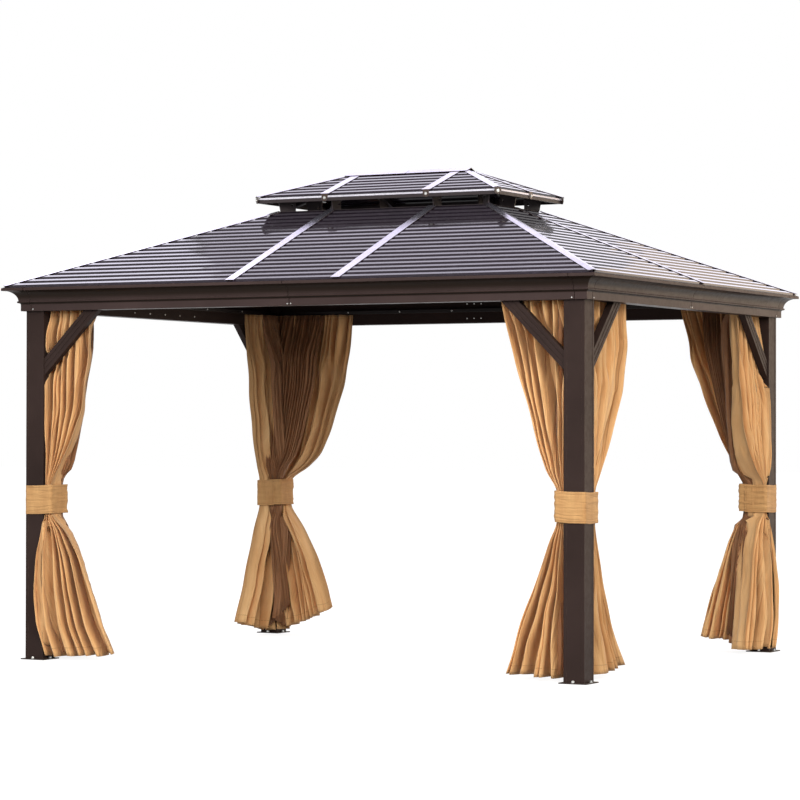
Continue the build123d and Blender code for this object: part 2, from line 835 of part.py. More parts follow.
def tie_band():
    """Band round the front right post and its two bundles."""
    reach = post_width + curtain_bundle + band_clearance
    z_limits = (band_bottom_z, band_bottom_z + band_height)
    x_hole = (half_x - reach, half_x + band_clearance)
    y_hole = (-half_y - band_clearance, reach - half_y)
    outer = block(
        (x_hole[0] - band_thickness, x_hole[1] + band_thickness),
        (y_hole[0] - band_thickness, y_hole[1] + band_thickness),
        z_limits,
    )
    outer = chamfer(outer.edges().filter_by(Axis.Z), band_chamfer)
    return only(outer - block(x_hole, y_hole, (0, ridge_z)))


# Every node and its solids


def nodes():
    """All pieces of the pavilion, as lists of solids under their node names."""
    made = {}
    for corner, solids in corners_by_name([post()]).items():
        made[f"{corner}_post"] = solids
    made["base_plates"] = to_all_corners([base_plate()])
    made["long_beams"] = mirrored_y([beam("long")])
    made["short_beams"] = mirrored_x([beam("short")])
    made["curtain_rails"] = mirrored_y([rail("long")]) + mirrored_x([rail("short")])
    for corner, solids in corners_by_name([brace("long"), brace("short")]).items():
        made[f"{corner}_braces"] = solids

    front = mirrored_x([cornice_bar("long", seam / 2, half_x - corner_leg - seam)])
    right = mirrored_y([cornice_bar("short", corner_leg + seam - half_y, -seam / 2)])
    made["front_cornice"] = front
    made["back_cornice"] = [solid.mirror(Plane.XZ) for solid in front]
    made["right_cornice"] = right
    made["left_cornice"] = [solid.mirror(Plane.YZ) for solid in right]
    made["cornice_corners"] = to_all_corners([cornice_corner()])

    made["lower_rafters"] = lower_rafters()
    made["vent_curb_long"] = mirrored_y([curb_long()])
    made["vent_curb_short"] = mirrored_x([curb_short()])
    made["vent_brackets"] = vent_brackets()
    front_panels = panels(lower["long"], strip_places["long"])
    right_panels = panels(lower["short"], strip_places["short"])
    made["front_roof_panels"] = front_panels
    made["back_roof_panels"] = [solid.mirror(Plane.XZ) for solid in front_panels]
    made["right_roof_panels"] = right_panels
    made["left_roof_panels"] = [solid.mirror(Plane.YZ) for solid in right_panels]
    made["lower_hip_caps"] = to_all_corners([lower_hip_cap()])
    long_top, short_top = lower["long"].length - edge_inset, lower["short"].length - edge_inset
    long_strips = to_all_corners([strip(lower["long"], strip_offset, edge_inset, long_top)])
    short_strips = mirrored_x([strip(lower["short"], 0.0, edge_inset, short_top)])
    made["lower_seam_strips"] = long_strips + short_strips

    made["upper_rafters"] = upper_rafters()
    made["ridge_beam"] = [ridge_beam()]
    made["upper_fascia_long"] = mirrored_y([upper_fascia_long()])
    made["upper_fascia_short"] = mirrored_x([upper_fascia_short()])
    made["upper_long_panels"] = mirrored_y(panels(upper["long"], strip_places["long"]))
    made["upper_short_panels"] = mirrored_x(gable_panels(upper["short"]))
    made["upper_hip_caps"] = to_all_corners([upper_hip_cap()])
    made["upper_seam_strips"] = to_all_corners([upper_strip("long", strip_offset)])
    made["upper_seam_strips"] += mirrored_x([upper_strip("short", 0.0)])
    made["ridge_caps"] = mirrored_x([ridge_cap()])

    for corner, (long_shape, short_shape) in curtain_shapes.items():
        pair = [curtain("long", long_shape), curtain("short", short_shape)]
        made[f"{corner}_curtains"] = moved_to(corner, pair)
    for corner, solids in corners_by_name([tie_band()]).items():
        made[f"{corner}_tie_band"] = solids
    return made


os.makedirs("parts", exist_ok=True)
for name, solids in nodes().items():
    shape = solids[0] if len(solids) == 1 else Compound(solids)
    export_step(shape, f"parts/{name}.step")
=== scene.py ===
"""Looks of the hard-top garden pavilion: paint, cloth, nets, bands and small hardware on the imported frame.

Metres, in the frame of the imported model. X runs along the long side, Y along the short side, Z is up.
A place on a side is given by its reach along the side from the post's face, its inset from the outer
face of the posts and its height.
"""

import logging
import math
import random
from dataclasses import dataclass, field
from enum import Enum
from typing import Callable, Iterable, Optional, Sequence

import bpy
import numpy as np
from mathutils import Matrix, Vector

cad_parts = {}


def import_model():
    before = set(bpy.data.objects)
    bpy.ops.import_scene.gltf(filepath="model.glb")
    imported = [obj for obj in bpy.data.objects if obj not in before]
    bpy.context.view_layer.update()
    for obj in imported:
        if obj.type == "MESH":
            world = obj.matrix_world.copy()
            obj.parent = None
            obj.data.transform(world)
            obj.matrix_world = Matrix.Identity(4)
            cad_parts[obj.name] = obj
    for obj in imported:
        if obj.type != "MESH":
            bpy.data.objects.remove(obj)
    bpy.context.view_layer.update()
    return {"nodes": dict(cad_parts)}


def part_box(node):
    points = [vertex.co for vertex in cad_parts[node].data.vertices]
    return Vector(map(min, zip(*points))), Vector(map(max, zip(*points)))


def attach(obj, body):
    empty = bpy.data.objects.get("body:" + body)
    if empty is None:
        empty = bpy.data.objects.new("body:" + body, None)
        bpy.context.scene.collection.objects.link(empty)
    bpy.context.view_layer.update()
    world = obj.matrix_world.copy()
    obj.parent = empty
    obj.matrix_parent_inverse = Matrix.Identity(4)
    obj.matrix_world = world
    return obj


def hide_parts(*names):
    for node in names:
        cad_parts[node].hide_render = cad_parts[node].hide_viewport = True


LOG = logging.getLogger("pavilion")
BODY = "root"
# Name of the cloth attribute that says how much painted shade each point gets inside the folds
PAINTED_SHADE_ATTRIBUTE = "painted_shade_depth"
CURTAIN_SEEDS = (100, 211)
BAND_SEEDS = (900, 31)
MILLIMETRES = 1000

Colour = tuple[float, float, float]
Pair = tuple[float, float]
Point = tuple[float, float, float]
Socket = bpy.types.NodeSocket


def srgb(red: int, green: int, blue: int) -> Colour:
    """Linear colour of an 8-bit screen colour.

    Args:
        red: Red from 0 to 255.
        green: Green from 0 to 255.
        blue: Blue from 0 to 255.

    Returns:
        The colour as Blender's shaders take it.
    """
    def linear(value: int) -> float:
        """One channel in linear light."""
        share = value / 255
        return share / 12.92 if share <= 0.04045 else ((share + 0.055) / 1.055) ** 2.4

    return linear(red), linear(green), linear(blue)


class Corner(Enum):
    """The four posts, with the signs of their X and Y."""

    FRONT_RIGHT = ("front_right", 1, -1)
    FRONT_LEFT = ("front_left", -1, -1)
    BACK_RIGHT = ("back_right", 1, 1)
    BACK_LEFT = ("back_left", -1, 1)

    @property
    def label(self) -> str:
        """Name of the corner as the CAD nodes use it."""
        return self.value[0]

    @property
    def signs(self) -> tuple[int, int]:
        """Signs of X and Y at the corner."""
        return self.value[1], self.value[2]


class Side(Enum):
    """The two sides that meet at a corner."""

    LONG = "long"
    SHORT = "short"


@dataclass(frozen=True)
class Plan:
    """Outline of the frame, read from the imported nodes."""

    half_x: float
    half_y: float
    post: float
    rail_z: float
    beam_z: float
    band_low: float
    band_high: float

    @classmethod
    def read(cls) -> "Plan":
        """Reads the plan from the front right post, its band, the beams and the rails.

        Returns:
            The plan.
        """
        low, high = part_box("front_right_post")
        beam_low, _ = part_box("long_beams")
        band_low, band_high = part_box("front_right_tie_band")
        rail_low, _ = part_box("curtain_rails")
        return cls(high.x, -low.y, high.x - low.x, rail_low.z, beam_low.z, band_low.z, band_high.z)

    def at(self, corner: Corner, side: Side, reach: float, inset: float, z: float) -> Vector:
        """World point of a place on a side.

        Args:
            corner: Corner that the reach starts from.
            side: Side that the reach runs along.
            reach: Distance along the side from the post's face.
            inset: Distance inward from the outer face of the posts.
            z: Height.

        Returns:
            The point in the frame of the model.
        """
        sign_x, sign_y = corner.signs
        if side is Side.LONG:
            return Vector((sign_x * (self.half_x - self.post - reach), sign_y * (self.half_y - inset), z))
        return Vector((sign_x * (self.half_x - inset), sign_y * (self.half_y - self.post - reach), z))


# Finishes


@dataclass(frozen=True)
class Grain:
    """One layer of noise: scale, detail, the range that is read, and the stretch of its coordinates."""

    scale: float
    detail: float = 3.0
    span: Pair = (0.3, 0.7)
    stretch: Point = (1.0, 1.0, 1.0)
    rough: float = 0.55


class Wiring:
    """Small helper that wires a node tree."""

    def __init__(self, tree: bpy.types.NodeTree) -> None:
        """Empties the tree."""
        self.tree = tree
        self.tree.nodes.clear()

    def node(self, kind: str, **settings: object) -> bpy.types.Node:
        """Adds a node and sets its properties.

        Args:
            kind: Type of the node.
            **settings: Properties by name.

        Returns:
            The node.
        """
        made = self.tree.nodes.new(kind)
        for key, value in settings.items():
            setattr(made, key, value)
        return made

    def feed(self, target: Socket, value: object) -> None:
        """Links a socket, or sets a plain value on it.

        Args:
            target: Input to feed.
            value: Socket to link, or a value.
        """
        if isinstance(value, bpy.types.NodeSocket):
            self.tree.links.new(value, target)
        else:
            target.default_value = value

    def math(self, operation: str, first: object, second: object = 0.0, clamp: bool = False) -> Socket:
        """One Math node.

        Args:
            operation: What it does.
            first: First value.
            second: Second value.
            clamp: True to keep the result from 0 to 1.

        Returns:
            The result.
        """
        made = self.node("ShaderNodeMath", operation=operation, use_clamp=clamp)
        self.feed(made.inputs[0], first)
        self.feed(made.inputs[1], second)
        return made.outputs[0]

    def times(self, first: object, second: object) -> Socket:
        """Product of two values."""
        return self.math("MULTIPLY", first, second)

    def span(self, value: Socket, low: float, high: float, to_low: object, to_high: object) -> Socket:
        """Clamped change of range.

        Args:
            value: Value to change.
            low: Start of its range.
            high: End of its range.
            to_low: Start of the new range.
            to_high: End of the new range.

        Returns:
            The changed value.
        """
        made = self.node("ShaderNodeMapRange")
        for key, number in (("From Min", low), ("From Max", high), ("To Min", to_low), ("To Max", to_high)):
            self.feed(made.inputs[key], number)
        self.feed(made.inputs["Value"], value)
        return made.outputs["Result"]

    def parts(self, value: Socket) -> Sequence[Socket]:
        """X, Y and Z of a vector.

        Args:
            value: The vector.

        Returns:
            The three values.
        """
        made = self.node("ShaderNodeSeparateXYZ")
        self.feed(made.inputs[0], value)
        return made.outputs


class Graph(Wiring):
    """A procedural material on one Principled shader."""

    edge_dots: Pair = (0.98, 0.80)

    def __init__(self, name: str) -> None:
        """Starts the material.

        Args:
            name: Name of the material.
        """
        self.material = bpy.data.materials.new(name)
        self.material.use_nodes = True
        super().__init__(self.material.node_tree)
        output = self.node("ShaderNodeOutputMaterial")
        self.shader = self.node("ShaderNodeBsdfPrincipled")
        self.feed(output.inputs["Surface"], self.shader.outputs["BSDF"])

    def set(self, name: str, value: object) -> None:
        """Feeds one input of the shader."""
        self.feed(self.shader.inputs[name], value)

    def place(self, stretch: Point = (1.0, 1.0, 1.0), uv: bool = False) -> Socket:
        """Object coordinates, or the piece's own UV map, stretched.

        Args:
            stretch: Factor along each axis.
            uv: True for the UV map, which is in metres on the cloth.

        Returns:
            The coordinates.
        """
        source = self.node("ShaderNodeTexCoord").outputs["UV" if uv else "Object"]
        mapping = self.node("ShaderNodeMapping")
        self.feed(mapping.inputs["Vector"], source)
        self.feed(mapping.inputs["Scale"], stretch)
        return mapping.outputs["Vector"]

    def noise(self, grain: Grain, uv: bool = False) -> Socket:
        """Fractal noise from 0 to 1.

        Args:
            grain: The layer of noise.
            uv: True to lie on the UV map.

        Returns:
            The noise.
        """
        made = self.node("ShaderNodeTexNoise")
        self.feed(made.inputs["Vector"], self.place(grain.stretch, uv))
        self.feed(made.inputs["Scale"], grain.scale)
        self.feed(made.inputs["Detail"], grain.detail)
        self.feed(made.inputs["Roughness"], grain.rough)
        return made.outputs["Fac"]

    def graded(self, grain: Grain, to_low: float, to_high: float) -> Socket:
        """Noise on Object coordinates, with the range that is read spread over another."""
        return self.span(self.noise(grain), *grain.span, to_low, to_high)

    def blend(self, share: object, first: object, second: object) -> Socket:
        """Mix of two colours.

        Args:
            share: Share of the second colour.
            first: First colour.
            second: Second colour.

        Returns:
            The mix.
        """
        made = self.node("ShaderNodeMix", data_type="RGBA")
        self.feed(made.inputs["Factor"], share)
        for key, value in (("A", first), ("B", second)):
            socket = [s for s in made.inputs if s.name == key and s.type == "RGBA"][0]
            self.feed(socket, value if isinstance(value, bpy.types.NodeSocket) else (*value, 1.0))
        return [s for s in made.outputs if s.type == "RGBA"][0]

    def bump(self, height: Socket, strength: float, distance: float,
             normal: Optional[Socket] = None) -> Socket:
        """Bump from a height.

        Args:
            height: Height to follow.
            strength: Share of the bump.
            distance: Metres for a height of 1.
            normal: Normal to start from, if not the surface's own.

        Returns:
            The bumped normal.
        """
        made = self.node("ShaderNodeBump")
        self.feed(made.inputs["Height"], height)
        self.feed(made.inputs["Strength"], strength)
        self.feed(made.inputs["Distance"], distance)
        if normal is not None:
            self.feed(made.inputs["Normal"], normal)
        return made.outputs["Normal"]

    def soft_edge(self, radius: float) -> tuple[Socket, Socket]:
        """Rounded-edge normal, and a mask that is bright on the edges.

        Args:
            radius: Radius of the edges.

        Returns:
            The normal and the mask.
        """
        bevel = self.node("ShaderNodeBevel", samples=4)
        self.feed(bevel.inputs["Radius"], radius)
        geometry = self.node("ShaderNodeNewGeometry")
        dot = self.node("ShaderNodeVectorMath", operation="DOT_PRODUCT")
        self.feed(dot.inputs[0], bevel.outputs["Normal"])
        self.feed(dot.inputs[1], geometry.outputs["True Normal"])
        return bevel.outputs["Normal"], self.span(dot.outputs["Value"], *self.edge_dots, 0.0, 1.0)


PAINT_DRIFT = Grain(2.3, 4.0, (0.32, 0.68))
RAIN_STREAKS = Grain(5.0, 4.0, (0.52, 0.78), (6.0, 6.0, 0.6))
SHEET_BUCKLE = Grain(1.6, 2.0, stretch=(0.9, 0.9, 7.0))
EDGE_RUB = Grain(38.0, span=(0.42, 0.66))
FINE_GLOSS = Grain(46.0, 2.0)
CLOTH_DRIFT = Grain(3.0, 5.0, stretch=(5.0, 1.2, 1.0))
CLOTH_SLUB = Grain(1.0, stretch=(320.0, 9.0, 1.0))
ZINC_SPOTS = Grain(180.0, 4.0, (0.4, 0.7))
ZINC_BRUSHING = Grain(900.0, 2.0)


@dataclass(frozen=True)
class Paint:
    """Baked paint on metal: shade drift, fine texture, thin edges rubbed lighter, and painted shade on faces
    that do not look up where a facing colour is given.
    """

    name: str
    colour: Colour
    worn: Colour
    shades: Pair = (0.80, 1.14)
    rough: float = 0.42
    rough_drift: float = 0.08
    texture_scale: float = 700.0
    texture_height: float = 0.00012
    texture_strength: float = 0.35
    edge: float = 0.0022
    edge_rub: Pair = (0.1, 0.75)
    coat: float = 0.0
    coat_rough: float = 0.1
    coat_ior: float = 1.5
    metal: float = 0.0
    gloss: float = 0.2
    streaks: float = 0.0
    # Painted shade: colour for faces that do not look up, and the range of facing over which it fades in
    painted_facing_shade: Optional[Colour] = None
    painted_facing_span: Pair = (0.35, 0.70)
    waver: float = 0.0

    def material(self) -> bpy.types.Material:
        """Makes the material.

        Returns:
            The material.
        """
        graph = Graph(self.name)
        darker, lighter = (tuple(shade * channel for channel in self.colour) for shade in self.shades)
        colour = graph.blend(graph.graded(PAINT_DRIFT, 0.0, 1.0), darker, lighter)
        if self.streaks > 0:
            colour = graph.blend(graph.graded(RAIN_STREAKS, 0.0, self.streaks), colour, self.worn)
        metal: object = self.metal
        # Painted shade: the facing colour goes on faces by how little they look up, and the metal stays only
        # on upward faces
        if self.painted_facing_shade is not None:
            normal_parts = graph.parts(graph.node("ShaderNodeNewGeometry").outputs["True Normal"])
            level = graph.span(normal_parts[2], *self.painted_facing_span, 0.0, 1.0)
            colour = graph.blend(level, self.painted_facing_shade, colour)
            if self.metal > 0:
                metal = graph.times(level, self.metal)
        normal, edge = graph.soft_edge(self.edge)
        if self.waver > 0:
            normal = graph.bump(graph.noise(SHEET_BUCKLE), 1.0, self.waver, normal)
        if self.coat > 0:
            graph.set("Coat Normal", normal)
        rub = graph.times(edge, graph.graded(EDGE_RUB, *self.edge_rub))
        graph.set("Base Color", graph.blend(rub, colour, self.worn))
        low, high = self.rough - self.rough_drift, self.rough + self.rough_drift
        graph.set("Roughness", graph.graded(FINE_GLOSS, low, high))
        peel = graph.noise(Grain(self.texture_scale, 2.0))
        graph.set("Normal", graph.bump(peel, self.texture_strength, self.texture_height, normal))
        graph.set("Metallic", metal)
        graph.set("Specular IOR Level", self.gloss)
        graph.set("Coat Weight", self.coat)
        graph.set("Coat Roughness", self.coat_rough)
        graph.set("Coat IOR", self.coat_ior)
        return graph.material


@dataclass(frozen=True)
class Cloth:
    """Woven polyester with sewn hems, on a UV map in metres."""

    name: str
    light: Colour
    deep: Colour
    thread: Colour
    width: float
    length: float
    shade_span: Pair = (0.36, 0.64)
    slub_share: float = 0.3
    side_hem: float = 0.028
    foot_hem: float = 0.048
    hem_tint: float = 0.10
    hem_height: float = 0.0005
    stitch_edge: Pair = (0.0011, 0.0019)
    stitch_rate: float = 190.0
    stitch_share: float = 0.72
    stitch_height: float = 0.0004
    rough: float = 0.78
    rough_drift: float = 0.08
    sheen: float = 0.15
    sheen_rough: float = 0.45
    alpha: float = 1.0
    weave: float = 620.0
    weave_height: float = 0.00008
    wrinkles: Pair = (26.0, 17.0)
    wrinkle_height: float = 0.0036
    creases: Pair = (9.0, 1.8)
    crease_width: float = 0.09
    crease_height: float = 0.006
    relief_strength: float = 0.8
    # Painted shade inside the folds: its brown, the fold depth where it starts, and its share at the deepest
    painted_shade_colour: Colour = srgb(122, 78, 42)
    painted_shade_from: float = 0.15
    painted_shade_share: float = 0.0

    def seam(self, graph: Graph, along: Socket, across: Socket, at: float) -> Socket:
        """Mask of one row of stitches.

        Args:
            graph: Material that the row is part of.
            along: Coordinate along the row.
            across: Coordinate across the row.
            at: Place of the row on that coordinate.

        Returns:
            A value of 1 on the stitches.
        """
        near = graph.math("ABSOLUTE", graph.math("SUBTRACT", across, at))
        line = graph.span(near, *self.stitch_edge, 1.0, 0.0)
        dash = graph.math("FRACT", graph.times(along, self.stitch_rate))
        return graph.times(line, graph.math("LESS_THAN", dash, self.stitch_share))

    def material(self) -> bpy.types.Material:
        """Makes the material.

        Returns:
            The material.
        """
        graph = Graph(self.name)
        across, down, _ = graph.parts(graph.place(uv=True))
        slub = graph.noise(CLOTH_SLUB, uv=True)
        drift = graph.times(graph.noise(CLOTH_DRIFT, uv=True), 1 - self.slub_share)
        shade = graph.math("ADD", drift, graph.times(slub, self.slub_share))
        colour = graph.blend(graph.span(shade, *self.shade_span, 0.0, 1.0), self.deep, self.light)
        stitches = self.seam(graph, down, across, self.side_hem)
        for row in ((down, across, self.width - self.side_hem),
                    (across, down, self.foot_hem),
                    (across, down, self.length - self.side_hem)):
            stitches = graph.math("MAXIMUM", stitches, self.seam(graph, *row))
        edge = graph.math("MINIMUM", across, graph.math("SUBTRACT", self.width, across))
        hem = graph.math("MAXIMUM", graph.math("LESS_THAN", edge, self.side_hem),
                         graph.math("LESS_THAN", down, self.foot_hem))
        colour = graph.blend(graph.times(hem, self.hem_tint), colour, self.deep)
        # Painted shade: deep inside each fold, as stored on the piece, the cloth is mixed toward a darker
        # brown
        painted_shade_depth = graph.node("ShaderNodeAttribute", attribute_name=PAINTED_SHADE_ATTRIBUTE).outputs["Fac"]
        painted_shade_mix = graph.span(painted_shade_depth, self.painted_shade_from, 1.0, 0.0, self.painted_shade_share)
        colour = graph.blend(painted_shade_mix, colour, self.painted_shade_colour)
        graph.set("Base Color", graph.blend(stitches, colour, self.thread))
        warp, weft = (graph.math("SINE", graph.times(way, self.weave * math.tau)) for way in (across, down))
        crumple = graph.noise(Grain(1.0, 4.0, stretch=(*self.wrinkles, 1.0), rough=0.6), uv=True)
        lines = graph.noise(Grain(1.0, stretch=(*self.creases, 1.0), rough=0.5), uv=True)
        off_line = graph.math("ABSOLUTE", graph.math("SUBTRACT", lines, 0.5))
        crease = graph.span(off_line, 0.0, self.crease_width, 0.0, 1.0)
        relief = graph.times(graph.times(warp, weft), self.weave_height)
        for layer, height in ((crumple, self.wrinkle_height), (crease, self.crease_height),
                              (hem, self.hem_height), (stitches, self.stitch_height)):
            relief = graph.math("ADD", relief, graph.times(layer, height))
        graph.set("Normal", graph.bump(relief, self.relief_strength, 1.0))
        low, high = self.rough - self.rough_drift, self.rough + self.rough_drift
        graph.set("Roughness", graph.span(slub, *CLOTH_SLUB.span, low, high))
        graph.set("Sheen Weight", self.sheen)
        graph.set("Sheen Roughness", self.sheen_rough)
        graph.set("Alpha", self.alpha)
        return graph.material


@dataclass(frozen=True)
class Zinc:
    """Bright plated steel with fine brushing."""

    name: str
    colour: Colour
    dull: Colour
    metal: float = 0.85
    rough: Pair = (0.22, 0.42)
    rough_span: Pair = (0.3, 0.7)
    brush_strength: float = 0.3
    brush_height: float = 0.0001

    def material(self) -> bpy.types.Material:
        """Makes the material.

        Returns:
            The material.
        """
        graph = Graph(self.name)
        spots = graph.noise(ZINC_SPOTS)
        dulled = graph.span(spots, *ZINC_SPOTS.span, 0.0, 1.0)
        graph.set("Base Color", graph.blend(dulled, self.colour, self.dull))
        graph.set("Metallic", self.metal)
        graph.set("Roughness", graph.span(spots, *self.rough_span, *self.rough))
        brushing = graph.noise(ZINC_BRUSHING)
        graph.set("Normal", graph.bump(brushing, self.brush_strength, self.brush_height))
        return graph.material


FRAME_PAINT = Paint("frame_paint_brown", srgb(55, 43, 40), srgb(104, 86, 76), gloss=0.05)
# Painted shade: the cornice's faces that look down, such as the cove, are coloured a darker brown
CORNICE_PAINT = Paint("cornice_paint_brown", srgb(68, 55, 53), srgb(114, 96, 88), rough=0.36, gloss=0.06,
                      painted_facing_shade=srgb(40, 30, 24), painted_facing_span=(-0.45, -0.06))
ROOF_PAINT = Paint("roof_paint_plum", srgb(38, 30, 40), srgb(92, 82, 96), rough=0.26, rough_drift=0.05,
                   texture_scale=420.0, texture_height=0.00006, coat=1.0, coat_rough=0.07, coat_ior=1.36,
                   gloss=0.0, streaks=0.12, waver=0.003)
# Painted shade: the trim's faces that do not look up are coloured dark brown and lose the metal; only upward
# faces keep the silver
TRIM_PAINT = Paint("trim_paint_silver_plum", srgb(178, 175, 190), srgb(206, 204, 216), rough=0.24,
                   rough_drift=0.05, texture_height=0.00006, metal=0.9, streaks=0.12,
                   painted_facing_shade=srgb(74, 60, 54))
# The drip edges are silver trim painted near-white with little metal: a painted reflection that gives a
# bright line along the upper eaves
EDGE_PAINT_WITH_REFLECTION = Paint("edge_paint_silver_with_painted_reflection", srgb(222, 219, 230), srgb(236, 234, 240), rough=0.3,
                   texture_height=0.00004, edge=0.0006, metal=0.2)
ROOF_FRAME_PAINT = Paint("roof_frame_paint_dark", srgb(56, 48, 50), srgb(88, 78, 76), rough=0.46)
PLATE_PAINT = Paint("plate_paint_brown", srgb(50, 39, 35), srgb(112, 96, 84), rough=0.48, streaks=0.2)
RAIL_PAINT = Paint("rail_paint_dark", srgb(30, 24, 23), srgb(84, 74, 68), rough=0.4)
BOLT_ZINC = Zinc("bolt_zinc", srgb(206, 206, 204), srgb(150, 148, 142))
CURTAIN_SHADES = (srgb(244, 197, 138), srgb(226, 170, 110), srgb(188, 134, 80))
NET_SHADES = (srgb(204, 148, 102), srgb(174, 118, 76), srgb(150, 104, 70))
BAND_SHADES = (srgb(214, 166, 108), srgb(190, 140, 86), srgb(166, 118, 68))
# Share of the painted shade deep inside the folds of curtains and nets
FOLD_SHADE = 0.40

CAD_FINISHES: tuple[tuple[Paint, tuple[str, ...]], ...] = (
    (FRAME_PAINT, ("front_left_post", "front_right_post", "back_left_post", "back_right_post", "long_beams",
                   "short_beams", "front_left_braces", "front_right_braces", "back_left_braces",
                   "back_right_braces")),
    (CORNICE_PAINT, ("front_cornice", "back_cornice", "left_cornice", "right_cornice", "cornice_corners")),
    (ROOF_PAINT, ("front_roof_panels", "back_roof_panels", "left_roof_panels", "right_roof_panels",
                  "upper_long_panels", "upper_short_panels")),
    (TRIM_PAINT, ("lower_hip_caps", "lower_seam_strips", "upper_hip_caps", "upper_seam_strips",
                  "ridge_caps")),
    (ROOF_FRAME_PAINT, ("lower_rafters", "vent_curb_long", "vent_curb_short", "vent_brackets",
                        "upper_rafters", "ridge_beam", "upper_fascia_long", "upper_fascia_short")),
    (PLATE_PAINT, ("base_plates",)),
    (RAIL_PAINT, ("curtain_rails",)),
)


def dress_frame(nodes: dict[str, bpy.types.Object]) -> None:
    """Gives every rigid CAD node its paint.

    Args:
        nodes: CAD nodes by name.
    """
    for paint, names in CAD_FINISHES:
        material = paint.material()
        for name in names:
            mesh = nodes[name].data
            mesh.materials.clear()
            mesh.materials.append(material)
            LOG.info("painted %s with %s", name, paint.name)


# Making of pieces


def deselect() -> None:
    """Leaves edit mode and deselects everything."""
    if bpy.context.object is not None and bpy.context.object.mode != "OBJECT":
        bpy.ops.object.mode_set(mode="OBJECT")
    bpy.ops.object.select_all(action="DESELECT")


def make_active(piece: bpy.types.Object) -> None:
    """Selects one piece alone.

    Args:
        piece: Piece to select.
    """
    deselect()
    piece.select_set(True)
    bpy.context.view_layer.objects.active = piece


def pick_faces(piece: bpy.types.Object, test: Callable[[bpy.types.MeshPolygon], bool]) -> None:
    """Selects the faces that pass a test, and enters edit mode.

    Args:
        piece: Piece to edit.
        test: Says whether a face is picked.
    """
    make_active(piece)
    bpy.ops.object.mode_set(mode="EDIT")
    bpy.ops.mesh.select_mode(type="FACE")
    bpy.ops.mesh.select_all(action="DESELECT")
    bpy.ops.object.mode_set(mode="OBJECT")
    for face in piece.data.polygons:
        face.select = bool(test(face))
    bpy.ops.object.mode_set(mode="EDIT")


def apply_modifier(piece: bpy.types.Object, kind: str, **settings: object) -> None:
    """Adds a modifier and applies it.

    Args:
        piece: Piece to change.
        kind: Type of the modifier.
        **settings: Properties by name.
    """
    make_active(piece)
    made = piece.modifiers.new(kind.title(), kind)
    for key, value in settings.items():
        setattr(made, key, value)
    bpy.ops.object.modifier_apply(modifier=made.name)


def set_smooth(piece: bpy.types.Object, angle: float = 35.0) -> None:
    """Smooth shading up to an angle in degrees."""
    make_active(piece)
    bpy.ops.object.shade_smooth_by_angle(angle=math.radians(angle))


def rename(name: str) -> bpy.types.Object:
    """Names the piece that was just added.

    Args:
        name: Name of the piece.

    Returns:
        The piece.
    """
    piece = bpy.context.object
    piece.name = name
    piece.data.name = name
    return piece


def merge_copies(pattern: bpy.types.Object, name: str, places: Iterable[Matrix]) -> bpy.types.Object:
    """Copies a pattern to many places and joins the copies into one piece.

    Args:
        pattern: Piece modelled at the origin, which is removed.
        name: Name of the joined piece.
        places: Placement of each copy.

    Returns:
        The joined piece, at the origin.
    """
    copies = []
    for place in places:
        copy = pattern.copy()
        copy.data = pattern.data.copy()
        copy.data.transform(place)
        bpy.context.scene.collection.objects.link(copy)
        copies.append(copy)
    bpy.data.objects.remove(pattern)
    make_active(copies[0])
    for copy in copies:
        copy.select_set(True)
    bpy.ops.object.join()
    return rename(name)


def facing(point: Vector, outward: Vector) -> Matrix:
    """Placement that turns a piece's Z to a direction.

    Args:
        point: Where the piece's origin goes.
        outward: Direction of its Z axis.

    Returns:
        The placement.
    """
    return Matrix.Translation(point) @ outward.to_track_quat("Z", "Y").to_matrix().to_4x4()


# Cloth


class Ripple:
    """Smooth wandering function of a place on the cloth, the same on every run."""

    slowest: float = 0.2

    def __init__(self, seed: int, waves: int, across: float, down: float) -> None:
        """Draws the waves.

        Args:
            seed: Seed of the draw.
            waves: How many waves are added up.
            across: Highest frequency across the cloth.
            down: Highest frequency down the cloth.
        """
        draw = random.Random(seed)
        self.waves = [
            (draw.uniform(-across, across), draw.uniform(self.slowest * down, down),
             draw.uniform(0.0, math.tau))
            for _ in range(waves)
        ]

    def __call__(self, across: np.ndarray, down: np.ndarray) -> np.ndarray:
        """Values from about -1 to 1.

        Args:
            across: Places across the cloth.
            down: Places down the cloth.

        Returns:
            The values.
        """
        total = np.zeros(np.broadcast(across, down).shape)
        for rate_across, rate_down, start in self.waves:
            total = total + np.sin(math.tau * (rate_across * across + rate_down * down) + start)
        return total / math.sqrt(len(self.waves))


def smooth(value: np.ndarray, low: float, high: float) -> np.ndarray:
    """Smooth step from 0 at one value to 1 at another."""
    share = np.clip((value - low) / (high - low), 0.0, 1.0)
    return share * share * (3 - 2 * share)


